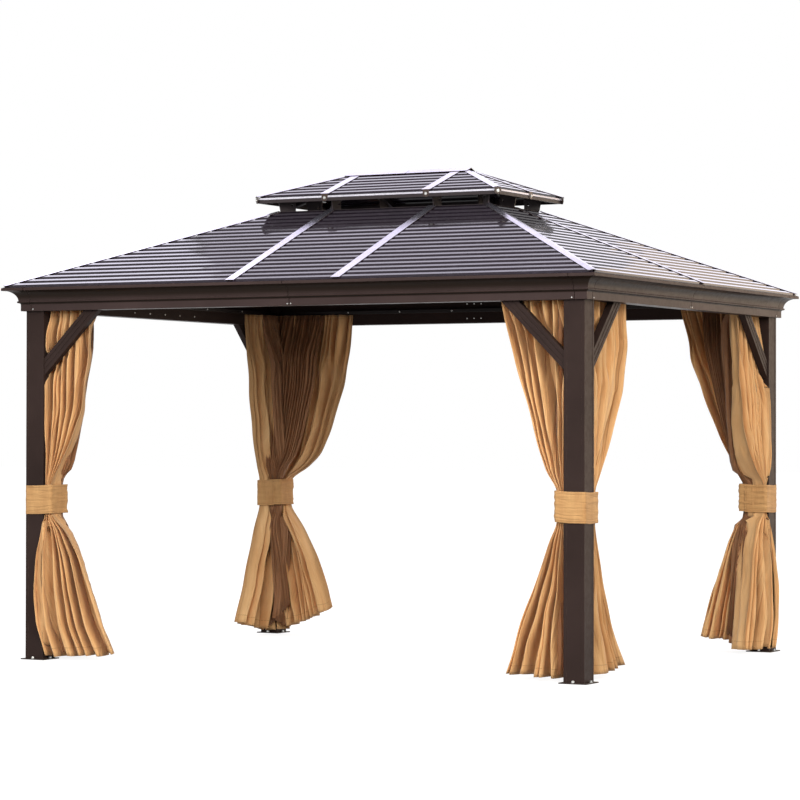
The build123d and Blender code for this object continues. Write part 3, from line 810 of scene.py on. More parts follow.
@dataclass(frozen=True)
class Pleats:
    """Row of uneven folds across a cloth, with broad crests outside and narrow loops inside."""

    count: int
    seed: int
    unevenness: float = 0.72
    fullness: float = 1.15
    roundness: float = 0.35
    depth_draw: Pair = (-1, 0.6)

    def offsets(self, across: np.ndarray, shift: np.ndarray,
                even: np.ndarray) -> tuple[np.ndarray, np.ndarray]:
        """Fold offsets at places across the cloth.

        Args:
            across: Places from 0 to 1.
            shift: Wander of the folds, in turns.
            even: Share from 0 to 1 by which the folds are pulled to one depth.

        Returns:
            Depth from 0 on a crest to about 1 in a loop, and slide along the row in shares of the row.
        """
        draw = random.Random(self.seed)
        widths = [1 + self.unevenness * draw.uniform(-1, 1) for _ in range(self.count)]
        depths = [1 + self.unevenness * draw.uniform(*self.depth_draw) for _ in range(self.count + 2)]
        knots = np.concatenate(([0.0], np.cumsum(widths))) / sum(widths)
        turns = np.interp(across, knots, np.arange(self.count + 1)) + shift
        deep = np.take(np.array(depths), np.floor(turns).astype(int) % len(depths))
        deep = deep + even * (1 - deep)
        loop = (0.5 - 0.5 * np.cos(math.tau * turns)) ** self.fullness
        slide = self.roundness / (2 * math.tau) * np.sin(2 * math.tau * turns)
        return deep * loop, slide / self.count


@dataclass(frozen=True)
class Level:
    """Ends of a gathered cloth's outer crests at one height: reach and inset at the post and at the edge."""

    z: float
    post_reach: float
    post_inset: float
    free_reach: float
    free_inset: float


HEM_WAVES = (6, 6.0, 0.1)
FOLD_WANDER = (5, 1.6, 0.8)
FOLD_SWELL = (5, 3.0, 0.9)
CRUMPLE_WAVES = (9, 8.0, 4.0)
LEVEL_EASES = (-0.03, -0.02, -0.01, 0.0, 0.01, 0.02, 0.03)
HALVINGS = 26


@dataclass(frozen=True)
class Drape:
    """One gathered sheet on a side: how wide it was cut, and how it hangs."""

    corner: Corner
    side: Side
    levels: tuple[Level, ...]
    width: float
    hem_z: float
    free_lift: float
    top_pleats: Pleats
    fall_pleats: Pleats
    foot_pleats: Pleats
    seed: int
    columns: int = 190
    rows: int = 84
    thickness: float = 0.0011
    wander: float = 0.30
    swell: float = 0.30
    swell_limits: Pair = (-1.6, 1.3)
    crumple: float = 0.0034
    slack_run: float = 0.2
    least_slack: float = 0.15
    hem_wave: float = 0.006
    lift_power: float = 1.3
    top_gap: float = 0.004
    head_ease: float = 0.03
    settled_z: float = 1.55
    foot_share: float = 0.84
    brace_reach: Pair = (0.272, 0.372)
    brace_ease: Pair = (0.050, 0.008)
    brace_back: float = 0.0505
    post_contact: float = -0.003
    post_edge: Pair = (-0.002, 0.003)
    post_room: float = 0.5
    wrap_slope: float = 2.0
    free_edge: float = 0.86
    end_damp: float = 0.5
    tie_ease: Pair = (0.10, 0.01)
    bunched: float = 0.10
    bunch_ease: Pair = (0.30, 0.03)
    deepest: float = 0.172
    deepest_fold: float = 0.30
    full_depth: float = 0.055
    inside: bool = False

    def pressed(self, plan: Plan, reach: np.ndarray, inset: np.ndarray, z: np.ndarray) -> np.ndarray:
        """Insets after the brace and the post have pushed the cloth aside.

        Args:
            plan: Outline of the frame.
            reach: Places along the side.
            inset: Insets as the folds would have them.
            z: Heights.

        Returns:
            The insets behind the brace, and in front of the post where the cloth passes it.
        """
        place = reach + plan.beam_z - z
        near, far = self.brace_reach
        wide, close = self.brace_ease
        behind = smooth(place, near - wide, near - close) * smooth(place, far + wide, far + close)
        inset = inset + behind * np.maximum(self.brace_back - inset, 0.0)
        if self.inside:
            return inset
        return np.where(reach < 0.0, np.minimum(inset, self.post_contact), inset)

    def profile(self, z: np.ndarray, name: str) -> np.ndarray:
        """One end's place at each height, eased between the levels.

        Args:
            z: Heights.
            name: Field of Level to read.

        Returns:
            The places.
        """
        ordered = sorted(self.levels, key=lambda level: level.z)
        heights = np.array([level.z for level in ordered])
        values = np.array([getattr(level, name) for level in ordered])
        total = np.zeros_like(z)
        for ease in LEVEL_EASES:
            total += np.interp(z + ease, heights, values)
        return total / len(LEVEL_EASES)

    def surface(self, plan: Plan) -> tuple[np.ndarray, np.ndarray, float]:
        """Grid of points of the hanging cloth, each row folded until it is as long as the cloth is wide.

        Args:
            plan: Outline of the frame.

        Returns:
            Points by row and column, how deep in a fold each lies (0 to 1), and the cloth's length.
        """
        across = np.linspace(0.0, 1.0, self.columns)[None, :]
        down = np.linspace(0.0, 1.0, self.rows)[:, None]
        top = plan.rail_z - self.top_gap
        hem = self.hem_z + self.free_lift * across ** self.lift_power
        hem = hem + self.hem_wave * Ripple(self.seed + 4, *HEM_WAVES)(across, 0 * across)
        z = top - down * (top - hem)
        start = np.stack([self.profile(z, "post_reach"), self.profile(z, "post_inset")], axis=-1)
        end = np.stack([self.profile(z, "free_reach"), self.profile(z, "free_inset")], axis=-1)
        chord = end - start
        run = np.linalg.norm(chord, axis=-1)
        along = chord / run[..., None]
        over = np.stack([-along[..., 1], along[..., 0]], axis=-1)
        still_ends = np.sqrt(np.sin(math.pi * np.clip(across, 0.0, 1.0)))
        wander = self.wander * still_ends * Ripple(self.seed, *FOLD_WANDER)(across, z)
        middle = (plan.band_low + plan.band_high) / 2
        half = (plan.band_high - plan.band_low) / 2
        off_tie = np.abs(z - middle) - half
        tied = smooth(off_tie, *self.tie_ease)
        billow = np.clip(Ripple(self.seed + 1, *FOLD_SWELL)(across, z), *self.swell_limits)
        swell = 1 + self.swell * (1 - tied) * billow
        foot = smooth(z, middle + self.foot_share * half, middle - self.foot_share * half)
        head = smooth(z, self.settled_z, top - self.head_ease)
        shares = ((self.top_pleats, head), (self.fall_pleats, 1 - head - foot), (self.foot_pleats, foot))
        depth, slide = np.zeros_like(z), np.zeros_like(z)
        for pleats, share in shares:
            deep, aside = pleats.offsets(across + 0 * z, wander, tied)
            depth = depth + share * deep
            slide = slide + share * aside
        depth = swell * depth * (1 - self.end_damp * smooth(across, self.free_edge, 1.0))
        off_post = self.post_room * smooth(start[..., 0], *self.post_edge)
        loose = self.crumple * np.clip(run / self.slack_run, self.least_slack, 1.0)
        fine = loose * Ripple(self.seed + 2, *CRUMPLE_WAVES)(across, z)
        fine_along = loose * Ripple(self.seed + 3, *CRUMPLE_WAVES)(across, z)
        shown = self.width * (1 - self.bunched * smooth(off_tie, *self.bunch_ease).mean(axis=1))

        def grid(amp: np.ndarray) -> np.ndarray:
            """Points for one fold depth a row.

            Args:
                amp: Fold depth of each row.

            Returns:
                Reach, inset and height by row and column.
            """
            reach = (across + slide) * run + fine_along
            offset = amp[:, None] * depth + fine
            flat = start + along * reach[..., None] + over * offset[..., None]
            reach = np.maximum(flat[..., 0], np.minimum(start[..., 0], self.post_edge[1]))
            wrapped = self.post_contact + self.wrap_slope * np.maximum(reach, 0.0) + off_post
            if self.inside:
                wrapped = self.deepest
            bounded = np.minimum(np.minimum(flat[..., 1], wrapped), self.deepest)
            inset = self.pressed(plan, reach, bounded, z)
            return np.stack([reach, inset, z], axis=-1)

        low_amp, high_amp = np.zeros(self.rows), np.full(self.rows, self.deepest_fold)
        for _ in range(HALVINGS):
            amp = (low_amp + high_amp) / 2
            steps = np.diff(grid(amp)[..., :2], axis=1)
            long_enough = np.linalg.norm(steps, axis=-1).sum(axis=1) > shown
            high_amp = np.where(long_enough, amp, high_amp)
            low_amp = np.where(long_enough, low_amp, amp)
        amp = (low_amp + high_amp) / 2
        folded = np.clip(amp[:, None] * depth / self.full_depth, 0.0, 1.0)
        return grid(amp), folded, float(top - self.hem_z)

    def build(self, plan: Plan, name: str) -> tuple[bpy.types.Object, float]:
        """Makes the sheet.

        Args:
            plan: Outline of the frame.
            name: Name of the piece.

        Returns:
            The piece and the cloth's length.
        """
        points, folded, length = self.surface(plan)
        world = [plan.at(self.corner, self.side, *place) for place in points.reshape(-1, 3)]
        size = (self.width, length)
        return sheet_from_grid(name, world, self.columns, self.rows, size, self.thickness, folded), length


def sheet_from_grid(name: str, points: Sequence[Vector], columns: int, rows: int,
                    size: tuple[float, float], thickness: float,
                    folded: Optional[np.ndarray] = None) -> bpy.types.Object:
    """Sheet of cloth through a grid of points, with a UV map in metres from its lower left corner.

    Args:
        name: Name of the piece.
        points: Points row by row, from the top.
        columns: Points in a row.
        rows: How many rows.
        size: Width and length of the flat cloth.
        thickness: Thickness of the cloth.
        folded: How deep in a fold each point lies, seen from outside, or None for no folds.

    Returns:
        The piece.
    """
    deselect()
    bpy.ops.mesh.primitive_grid_add(x_subdivisions=columns - 1, y_subdivisions=rows - 1, size=1.0)
    piece = rename(name)
    mesh = piece.data
    places = np.empty(len(mesh.vertices) * 3)
    mesh.vertices.foreach_get("co", places)
    places = places.reshape(-1, 3)
    column = np.rint((places[:, 0] + 0.5) * (columns - 1)).astype(int)
    row = np.rint((0.5 - places[:, 1]) * (rows - 1)).astype(int)
    target = np.array([tuple(point) for point in points])[row * columns + column]
    mesh.vertices.foreach_set("co", target.ravel())
    flat = np.stack([column / (columns - 1) * size[0], (1 - row / (rows - 1)) * size[1]], axis=-1)
    corners = np.empty(len(mesh.loops), dtype=int)
    mesh.loops.foreach_get("vertex_index", corners)
    layer = mesh.uv_layers[0] if mesh.uv_layers else mesh.uv_layers.new(name="cloth")
    layer.data.foreach_set("uv", flat[corners].astype(np.float32).ravel())
    mesh.update()
    apply_modifier(piece, "SOLIDIFY", thickness=thickness, offset=0.0, use_even_offset=False)
    if folded is not None:
        store_painted_shade(piece, folded.ravel()[row * columns + column])
    set_smooth(piece, 180.0)
    return piece


def store_painted_shade(piece: bpy.types.Object, folded: np.ndarray) -> None:
    """Stores how deep in a fold each point lies on its own face of a cloth, for the painted shade inside the
    folds.

    Args:
        piece: Cloth with two faces, the points of one before those of the other.
        folded: How deep in a fold each point of a face lies, seen from outside.
    """
    places = np.empty(len(piece.data.vertices) * 3)
    piece.data.vertices.foreach_get("co", places)
    faces = places.reshape(2, -1, 3)
    spread = np.abs(faces[..., :2]).sum(axis=-1).mean(axis=1)
    outer_first = spread[0] > spread[1]
    painted_shade_depth = (folded, 1 - folded) if outer_first else (1 - folded, folded)
    layer = piece.data.attributes.new(PAINTED_SHADE_ATTRIBUTE, "FLOAT", "POINT")
    layer.data.foreach_set("value", np.concatenate(painted_shade_depth).astype(np.float32))


CLOTH_WIDTHS = {Side.LONG: 1.70, Side.SHORT: 1.30}
NET_FOLDS = {Side.LONG: 22, Side.SHORT: 18}
NET_INSETS = {Side.LONG: 0.182, Side.SHORT: 0.176}
TIED_NET_INSETS = {Side.LONG: 0.112, Side.SHORT: 0.080}
SIDE_SEEDS = {Side.LONG: 0, Side.SHORT: 40}
PLEAT_SEEDS = (5, 7, 6)
TIED = ((1020, 6, 14, 44, 14), (830, 6, 14, 44, 14))


def hang(*rows: tuple[int, int, int, int, int]) -> tuple[Level, ...]:
    """Levels from rows in millimetres: height, post reach, post inset, free reach and free inset."""
    return tuple(Level(*(number / MILLIMETRES for number in row)) for row in rows)


CURTAIN_LEVELS: dict[tuple[Corner, Side], tuple[Level, ...]] = {
    (Corner.FRONT_RIGHT, Side.LONG): hang(
        (2070, 10, 63, 410, 63), (1980, 10, 60, 390, 60), (1690, 10, 52, 310, 54), (1450, 8, 46, 232, 48),
        (1240, 8, 36, 165, 36), (1100, 8, 24, 108, 24), *TIED, (750, 8, 22, 90, 22),
        (600, 10, 32, 150, 34), (400, 12, 42, 235, 46), (200, 14, 48, 310, 54), (0, 16, 52, 370, 60)),
    (Corner.FRONT_RIGHT, Side.SHORT): hang(
        (2070, 10, 63, 545, 63), (1980, 10, 60, 555, 62), (1790, 10, 54, 570, 60),
        (1540, 10, 48, 500, 56), (1410, 10, 44, 415, 52), (1270, 9, 38, 300, 44), (1160, 8, 30, 210, 34),
        (1060, 7, 20, 110, 22), *TIED, (720, 8, 22, 95, 22), (500, 12, 32, 200, 36),
        (300, 16, 40, 330, 48), (150, 18, 42, 450, 54), (0, 20, 44, 580, 60)),
    (Corner.FRONT_LEFT, Side.LONG): hang(
        (2070, 6, 63, 285, 63), (1990, 4, 60, 284, 60), (1900, 3, 18, 280, 56), (1700, 3, 10, 268, 54),
        (1440, 3, 10, 232, 50), (1270, 4, 12, 168, 40), (1130, 5, 14, 98, 28), *TIED,
        (760, -10, -6, 120, 30), (600, -36, -24, 215, 56), (400, -42, -30, 290, 66),
        (200, -30, -26, 370, 68), (60, 4, -4, 435, 68), (0, 18, 4, 455, 68)),
    (Corner.FRONT_LEFT, Side.SHORT): hang(
        (2070, 10, 63, 425, 63), (1980, 10, 60, 410, 60), (1700, 10, 52, 360, 56),
        (1440, 10, 48, 280, 50), (1240, 9, 38, 162, 38), (1100, 8, 24, 80, 24), *TIED,
        (720, 8, 22, 105, 22), (400, 12, 36, 245, 44), (0, 16, 42, 415, 54)),
    (Corner.BACK_RIGHT, Side.LONG): hang(
        (2070, 10, 63, 478, 63), (1850, 10, 56, 405, 58), (1570, 10, 50, 310, 52), (1290, 9, 38, 205, 40),
        (1100, 8, 24, 120, 24), *TIED, (720, 8, 24, 115, 24), (650, 10, 30, 155, 30),
        (370, 12, 44, 265, 50), (0, 16, 52, 370, 60)),
    (Corner.BACK_RIGHT, Side.SHORT): hang(
        (2070, 4, 63, 372, 63), (1990, 3, 58, 360, 62), (1710, 3, 20, 320, 60), (1620, 3, 12, 308, 59),
        (1520, -14, -4, 294, 58), (1370, -26, -10, 275, 56), (1200, -24, -10, 205, 44),
        (1080, -10, -4, 125, 30), *TIED, (770, -12, -6, 120, 26), (600, -58, -22, 158, 40),
        (400, -86, -30, 180, 50), (200, -92, -32, 215, 54), (80, -72, -26, 240, 56),
        (0, -58, -20, 255, 56)),
    (Corner.BACK_LEFT, Side.LONG): hang(
        (2070, 10, 63, 538, 63), (1840, 10, 56, 512, 60), (1630, 10, 52, 475, 58),
        (1480, 10, 48, 420, 54), (1320, 10, 42, 362, 48), (1170, 9, 32, 285, 38), (1070, 8, 22, 160, 24),
        *TIED, (700, 8, 26, 150, 28), (520, 10, 36, 260, 42), (300, 12, 46, 350, 52),
        (80, 14, 50, 415, 58)),
    (Corner.BACK_LEFT, Side.SHORT): hang(
        (2070, 10, 63, 320, 63), (1750, 10, 54, 275, 58), (1450, 10, 48, 232, 54), (1180, 9, 34, 150, 36),
        (1070, 7, 22, 85, 22), *TIED, (700, 8, 26, 135, 28), (520, 10, 34, 225, 38),
        (320, 12, 40, 315, 46), (60, 16, 44, 445, 54)),
}

PLEAT_COUNTS: dict[tuple[Corner, Side], tuple[int, int, int]] = {
    (Corner.FRONT_RIGHT, Side.LONG): (9, 6, 6),
    (Corner.FRONT_RIGHT, Side.SHORT): (7, 4, 5),
    (Corner.FRONT_LEFT, Side.LONG): (8, 6, 6),
    (Corner.FRONT_LEFT, Side.SHORT): (9, 8, 8),
    (Corner.BACK_RIGHT, Side.LONG): (12, 10, 8),
    (Corner.BACK_RIGHT, Side.SHORT): (10, 8, 6),
    (Corner.BACK_LEFT, Side.LONG): (13, 11, 9),
    (Corner.BACK_LEFT, Side.SHORT): (12, 10, 9),
}

HEMS: dict[tuple[Corner, Side], tuple[float, float]] = {
    (Corner.FRONT_RIGHT, Side.LONG): (0.020, 0.010),
    (Corner.FRONT_RIGHT, Side.SHORT): (0.020, 0.030),
    (Corner.FRONT_LEFT, Side.LONG): (0.018, 0.020),
    (Corner.FRONT_LEFT, Side.SHORT): (0.022, 0.030),
    (Corner.BACK_RIGHT, Side.LONG): (0.050, 0.040),
    (Corner.BACK_RIGHT, Side.SHORT): (0.022, 0.010),
    (Corner.BACK_LEFT, Side.LONG): (0.030, 0.150),
    (Corner.BACK_LEFT, Side.SHORT): (0.025, 0.070),
}


def dress_sheet(piece: bpy.types.Object, cloth: Cloth,
                stands_for: Optional[str] = None) -> None:
    """Gives a sheet its cloth, hangs it on the body and hides the CAD node that it replaces.

    Args:
        piece: The sheet.
        cloth: Its cloth, with the flat size.
        stands_for: CAD node that it replaces, if any.
    """
    piece.data.materials.append(cloth.material())
    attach(piece, BODY)
    if stands_for is not None:
        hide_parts(stands_for)


@dataclass
class CurtainSet:
    """The two curtains and two insect nets that hang at one post, tied back by a band."""

    corner: Corner
    plan: Plan
    seed: int
    net_share: float = 0.66
    low_net_share: float = 0.36
    least_net: float = 0.038
    tied_z: Pair = (0.82, 1.03)
    waist_z: float = 1.0
    head_z: float = 2.0
    head_inset: float = 0.112
    net_lap: float = -0.030
    net_rise: float = 0.02
    net_seed: int = 17
    net_unevenness: float = 0.4
    sheets: list[bpy.types.Object] = field(default_factory=list)

    def curtain(self, side: Side) -> bpy.types.Object:
        """Hangs one curtain.

        Args:
            side: Side that it closes.

        Returns:
            The piece.
        """
        key = (self.corner, side)
        width = CLOTH_WIDTHS[side]
        seed = self.seed + SIDE_SEEDS[side]
        pleats = [Pleats(count, seed + step) for count, step in zip(PLEAT_COUNTS[key], PLEAT_SEEDS)]
        drape = Drape(self.corner, side, CURTAIN_LEVELS[key], width, *HEMS[key], *pleats, seed)
        name = f"{self.corner.label}_{side.value}_curtain"
        piece, length = drape.build(self.plan, name)
        cloth = Cloth(f"{name}_cloth", *CURTAIN_SHADES, width, length, painted_shade_share=FOLD_SHADE)
        dress_sheet(piece, cloth,
                    f"{self.corner.label}_curtains")
        return piece

    def net_levels(self, side: Side) -> tuple[Level, ...]:
        """Levels of the net inside one curtain.

        Args:
            side: Side that it closes.

        Returns:
            The levels.
        """
        low, high = self.tied_z
        levels = []
        for level in CURTAIN_LEVELS[self.corner, side]:
            share = self.net_share if level.z > self.waist_z else self.low_net_share
            reach = max(level.free_reach * share, self.least_net)
            inset = TIED_NET_INSETS[side] if low <= level.z <= high else NET_INSETS[side]
            inset = self.head_inset if level.z > self.head_z else inset
            levels.append(Level(level.z, self.net_lap, inset, reach, inset))
        return tuple(levels)

    def net(self, side: Side) -> bpy.types.Object:
        """Hangs one insect net inside a curtain.

        Args:
            side: Side that it closes.

        Returns:
            The piece.
        """
        hem, lift = HEMS[self.corner, side]
        width = CLOTH_WIDTHS[side]
        seed = self.seed + SIDE_SEEDS[side] + self.net_seed
        pleats = [Pleats(NET_FOLDS[side], seed + step, self.net_unevenness) for step in PLEAT_SEEDS]
        drape = Drape(self.corner, side, self.net_levels(side), width, hem + self.net_rise, lift, *pleats,
                      seed, columns=212, rows=38, thickness=0.0006, crumple=0.0016, deepest=0.25,
                      inside=True)
        name = f"{self.corner.label}_{side.value}_net"
        piece, length = drape.build(self.plan, name)
        mesh_cloth = Cloth(f"{name}_mesh", *NET_SHADES, width, length, rough=0.6, sheen=0.2, alpha=0.66,
                           crease_height=0.0, painted_shade_share=FOLD_SHADE)
        dress_sheet(piece, mesh_cloth)
        return piece

    def build(self) -> None:
        """Hangs everything at this post."""
        for side in Side:
            self.sheets.append(self.curtain(side))
            self.sheets.append(self.net(side))


BAND_CREASES = (9, 1.3, 5.4)
BAND_CRUMPLE = (8, 5.0, 8.0)
BAND_WAVE = (5, 5.0, 0.4)


@dataclass
class TieBand:
    """Cloth band wrapped round a post and its bundles, its end lapped and pressed down."""

    corner: Corner
    plan: Plan
    seed: int
    gap: float = 0.0016
    wall: float = 0.003
    radius: float = 0.014
    bend_steps: int = 8
    start_share: float = 0.55
    lap: float = 0.055
    lap_rise: float = 0.0030
    lap_from: float = 0.90
    lap_run: float = 0.08
    columns: int = 160
    rows: int = 36
    thickness: float = 0.0022
    crease_height: float = 0.0024
    crease_run: float = 2.0
    crease_slant: float = 0.25
    crumple: float = 0.0006
    post_share: float = 0.3
    side_turn: float = 0.5
    edge_wave: float = 0.0025
    edge_pinch: float = 0.4
    sag: float = 0.004

    def outline(self) -> tuple[np.ndarray, np.ndarray, float]:
        """Path of the band in the plan of the front right corner.

        Returns:
            Points on the path, their outward directions, and the path's length.
        """
        low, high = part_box(f"{Corner.FRONT_RIGHT.label}_tie_band")
        left, right = low.x + self.wall, high.x - self.wall
        front, back = low.y + self.wall, high.y - self.wall
        r = self.radius
        bends = ((left + r, back - r, 90), (left + r, front + r, 180), (right - r, front + r, 270),
                 (right - r, back - r, 0))
        start = Vector((left + self.start_share * (right - left), back))
        points, normals = [start], [Vector((0, 1))]
        for x, y, first in bends:
            for step in range(self.bend_steps + 1):
                angle = math.radians(first + 90 * step / self.bend_steps)
                normal = Vector((math.cos(angle), math.sin(angle)))
                points.append(Vector((x, y)) + normal * r)
                normals.append(normal)
        points.append(start - Vector((self.lap, 0)))
        normals.append(Vector((0, 1)))
        steps = [0.0]
        for first, second in zip(points, points[1:]):
            steps.append(steps[-1] + (second - first).length)
        wanted = np.linspace(0.0, steps[-1], self.columns)
        path = np.stack([np.interp(wanted, steps, [p[axis] for p in points]) for axis in (0, 1)], axis=-1)
        outward = np.stack([np.interp(wanted, steps, [n[axis] for n in normals]) for axis in (0, 1)], axis=-1)
        outward /= np.linalg.norm(outward, axis=1)[:, None]
        return path, outward, steps[-1]

    def build(self) -> bpy.types.Object:
        """Makes the band.

        Returns:
            The piece.
        """
        path, outward, length = self.outline()
        plan = self.plan
        across = np.linspace(0.0, 1.0, self.columns)[None, :]
        down = np.linspace(0.0, 1.0, self.rows)[:, None]
        height = plan.band_high - plan.band_low
        on_cloth = (outward[:, 0] < self.side_turn) & (outward[:, 1] > -self.side_turn)
        soft = np.where(on_cloth, 1.0, self.post_share)
        ripple = Ripple(self.seed, *BAND_CREASES)(across * self.crease_run, down + self.crease_slant * across)
        crease = np.maximum(1 + ripple, 0.0)
        fine = Ripple(self.seed + 1, *BAND_CRUMPLE)(across, down)
        raise_by = self.gap + soft[None, :] * (self.crease_height * crease + self.crumple * fine)
        raise_by = raise_by + self.lap_rise * np.clip((across - self.lap_from) / self.lap_run, 0, 1)
        wave = Ripple(self.seed + 2, *BAND_WAVE)(across, 0 * down)
        pinch = 1 - 2 * np.abs(down - 0.5) * self.edge_pinch
        z = plan.band_high - down * height + self.edge_wave * wave * pinch
        sag = self.sag * np.sin(math.pi * across * 2)
        plan_points = path[None, :, :] + outward[None, :, :] * raise_by[..., None]
        sign_x, sign_y = self.corner.signs
        points = []
        for row in range(self.rows):
            for column in range(self.columns):
                x, y = plan_points[row, column]
                points.append(Vector((sign_x * x, -sign_y * y, z[row, column] + sag[0, column])))
        name = f"{self.corner.label}_band"
        piece = sheet_from_grid(name, points, self.columns, self.rows, (length, height), self.thickness)
        cloth = Cloth(f"{name}_cloth", *BAND_SHADES, length, height, side_hem=0.012, foot_hem=0.012,
                      wrinkles=(6.0, 62.0), creases=(3.0, 26.0), crease_height=0.0025)
        label = self.corner.label
        dress_sheet(piece, cloth, f"{label}_tie_band")
        return piece


# Small hardware


@dataclass(frozen=True)
class Hexagon:
    """Sizes of a hex-head bolt on a washer."""

    across: float
    head: float
    washer: float
    washer_height: float


@dataclass(frozen=True)
class PanHead:
    """Sizes of a pan-head screw."""

    radius: float
    height: float


ANCHOR_BOLT = Hexagon(0.0165, 0.0095, 0.020, 0.002)
TAB_BOLT = Hexagon(0.013, 0.005, 0.018, 0.0016)
CORNICE_SCREW = PanHead(0.0042, 0.0026)
RAIL_SCREW = PanHead(0.0052, 0.0030)
BEAM_SCREW = PanHead(0.0050, 0.0028)
UPWARD = 0.9
LEVEL_TOP = 0.99
WASHER_RIM = 0.0012
HEAD_BEVEL = 0.16
DOME_SHARE = 0.4
RECESS_RIM = 0.3


def standing_cylinder(name: str, sides: int, radius: float, height: float,
                      foot: float = 0.0) -> bpy.types.Object:
    """Adds a cylinder that stands at a height, with its place in its mesh.

    Args:
        name: Name of the piece.
        sides: How many sides it has.
        radius: Its radius.
        height: Its height.
        foot: Height that it stands at.

    Returns:
        The piece.
    """
    deselect()
    bpy.ops.mesh.primitive_cylinder_add(vertices=sides, radius=radius, depth=height,
                                        location=(0, 0, foot + height / 2))
    piece = rename(name)
    bpy.ops.object.transform_apply(location=True)
    return piece


def hex_bolt(size: Hexagon) -> bpy.types.Object:
    """Models one hex bolt head on its washer, standing on the origin.

    Args:
        size: Sizes of the bolt.

    Returns:
        The pattern.
    """
    pattern = standing_cylinder("bolt_pattern", 20, size.washer / 2, size.washer_height)
    pick_faces(pattern, lambda face: face.normal.z > UPWARD)
    bpy.ops.mesh.inset(thickness=WASHER_RIM)
    bpy.ops.object.mode_set(mode="OBJECT")
    head = standing_cylinder("bolt_head", 6, size.across / 2, size.head, size.washer_height)
    pick_faces(head, lambda face: face.normal.z > UPWARD)
    bpy.ops.mesh.bevel(offset=size.head * HEAD_BEVEL, segments=2, affect="EDGES")
    bpy.ops.object.mode_set(mode="OBJECT")
    head.select_set(True)
    pattern.select_set(True)
    bpy.context.view_layer.objects.active = pattern
    bpy.ops.object.join()
    return bpy.context.object


def pan_screw(size: PanHead) -> bpy.types.Object:
    """Models one pan-head screw with a recess, standing on the origin.

    Args:
        size: Sizes of the screw.

    Returns:
        The pattern.
    """
    pattern = standing_cylinder("screw_pattern", 12, size.radius, size.height)
    pick_faces(pattern, lambda face: face.normal.z > UPWARD)
    bpy.ops.mesh.bevel(offset=size.height * DOME_SHARE, segments=2, affect="EDGES")
    bpy.ops.object.mode_set(mode="OBJECT")
    pick_faces(pattern, lambda face: face.normal.z > LEVEL_TOP)
    bpy.ops.mesh.inset(thickness=size.radius * RECESS_RIM)
    sink = (0, 0, -size.height * DOME_SHARE)
    bpy.ops.mesh.extrude_region_move(TRANSFORM_OT_translate={"value": sink})
    bpy.ops.object.mode_set(mode="OBJECT")
    return pattern


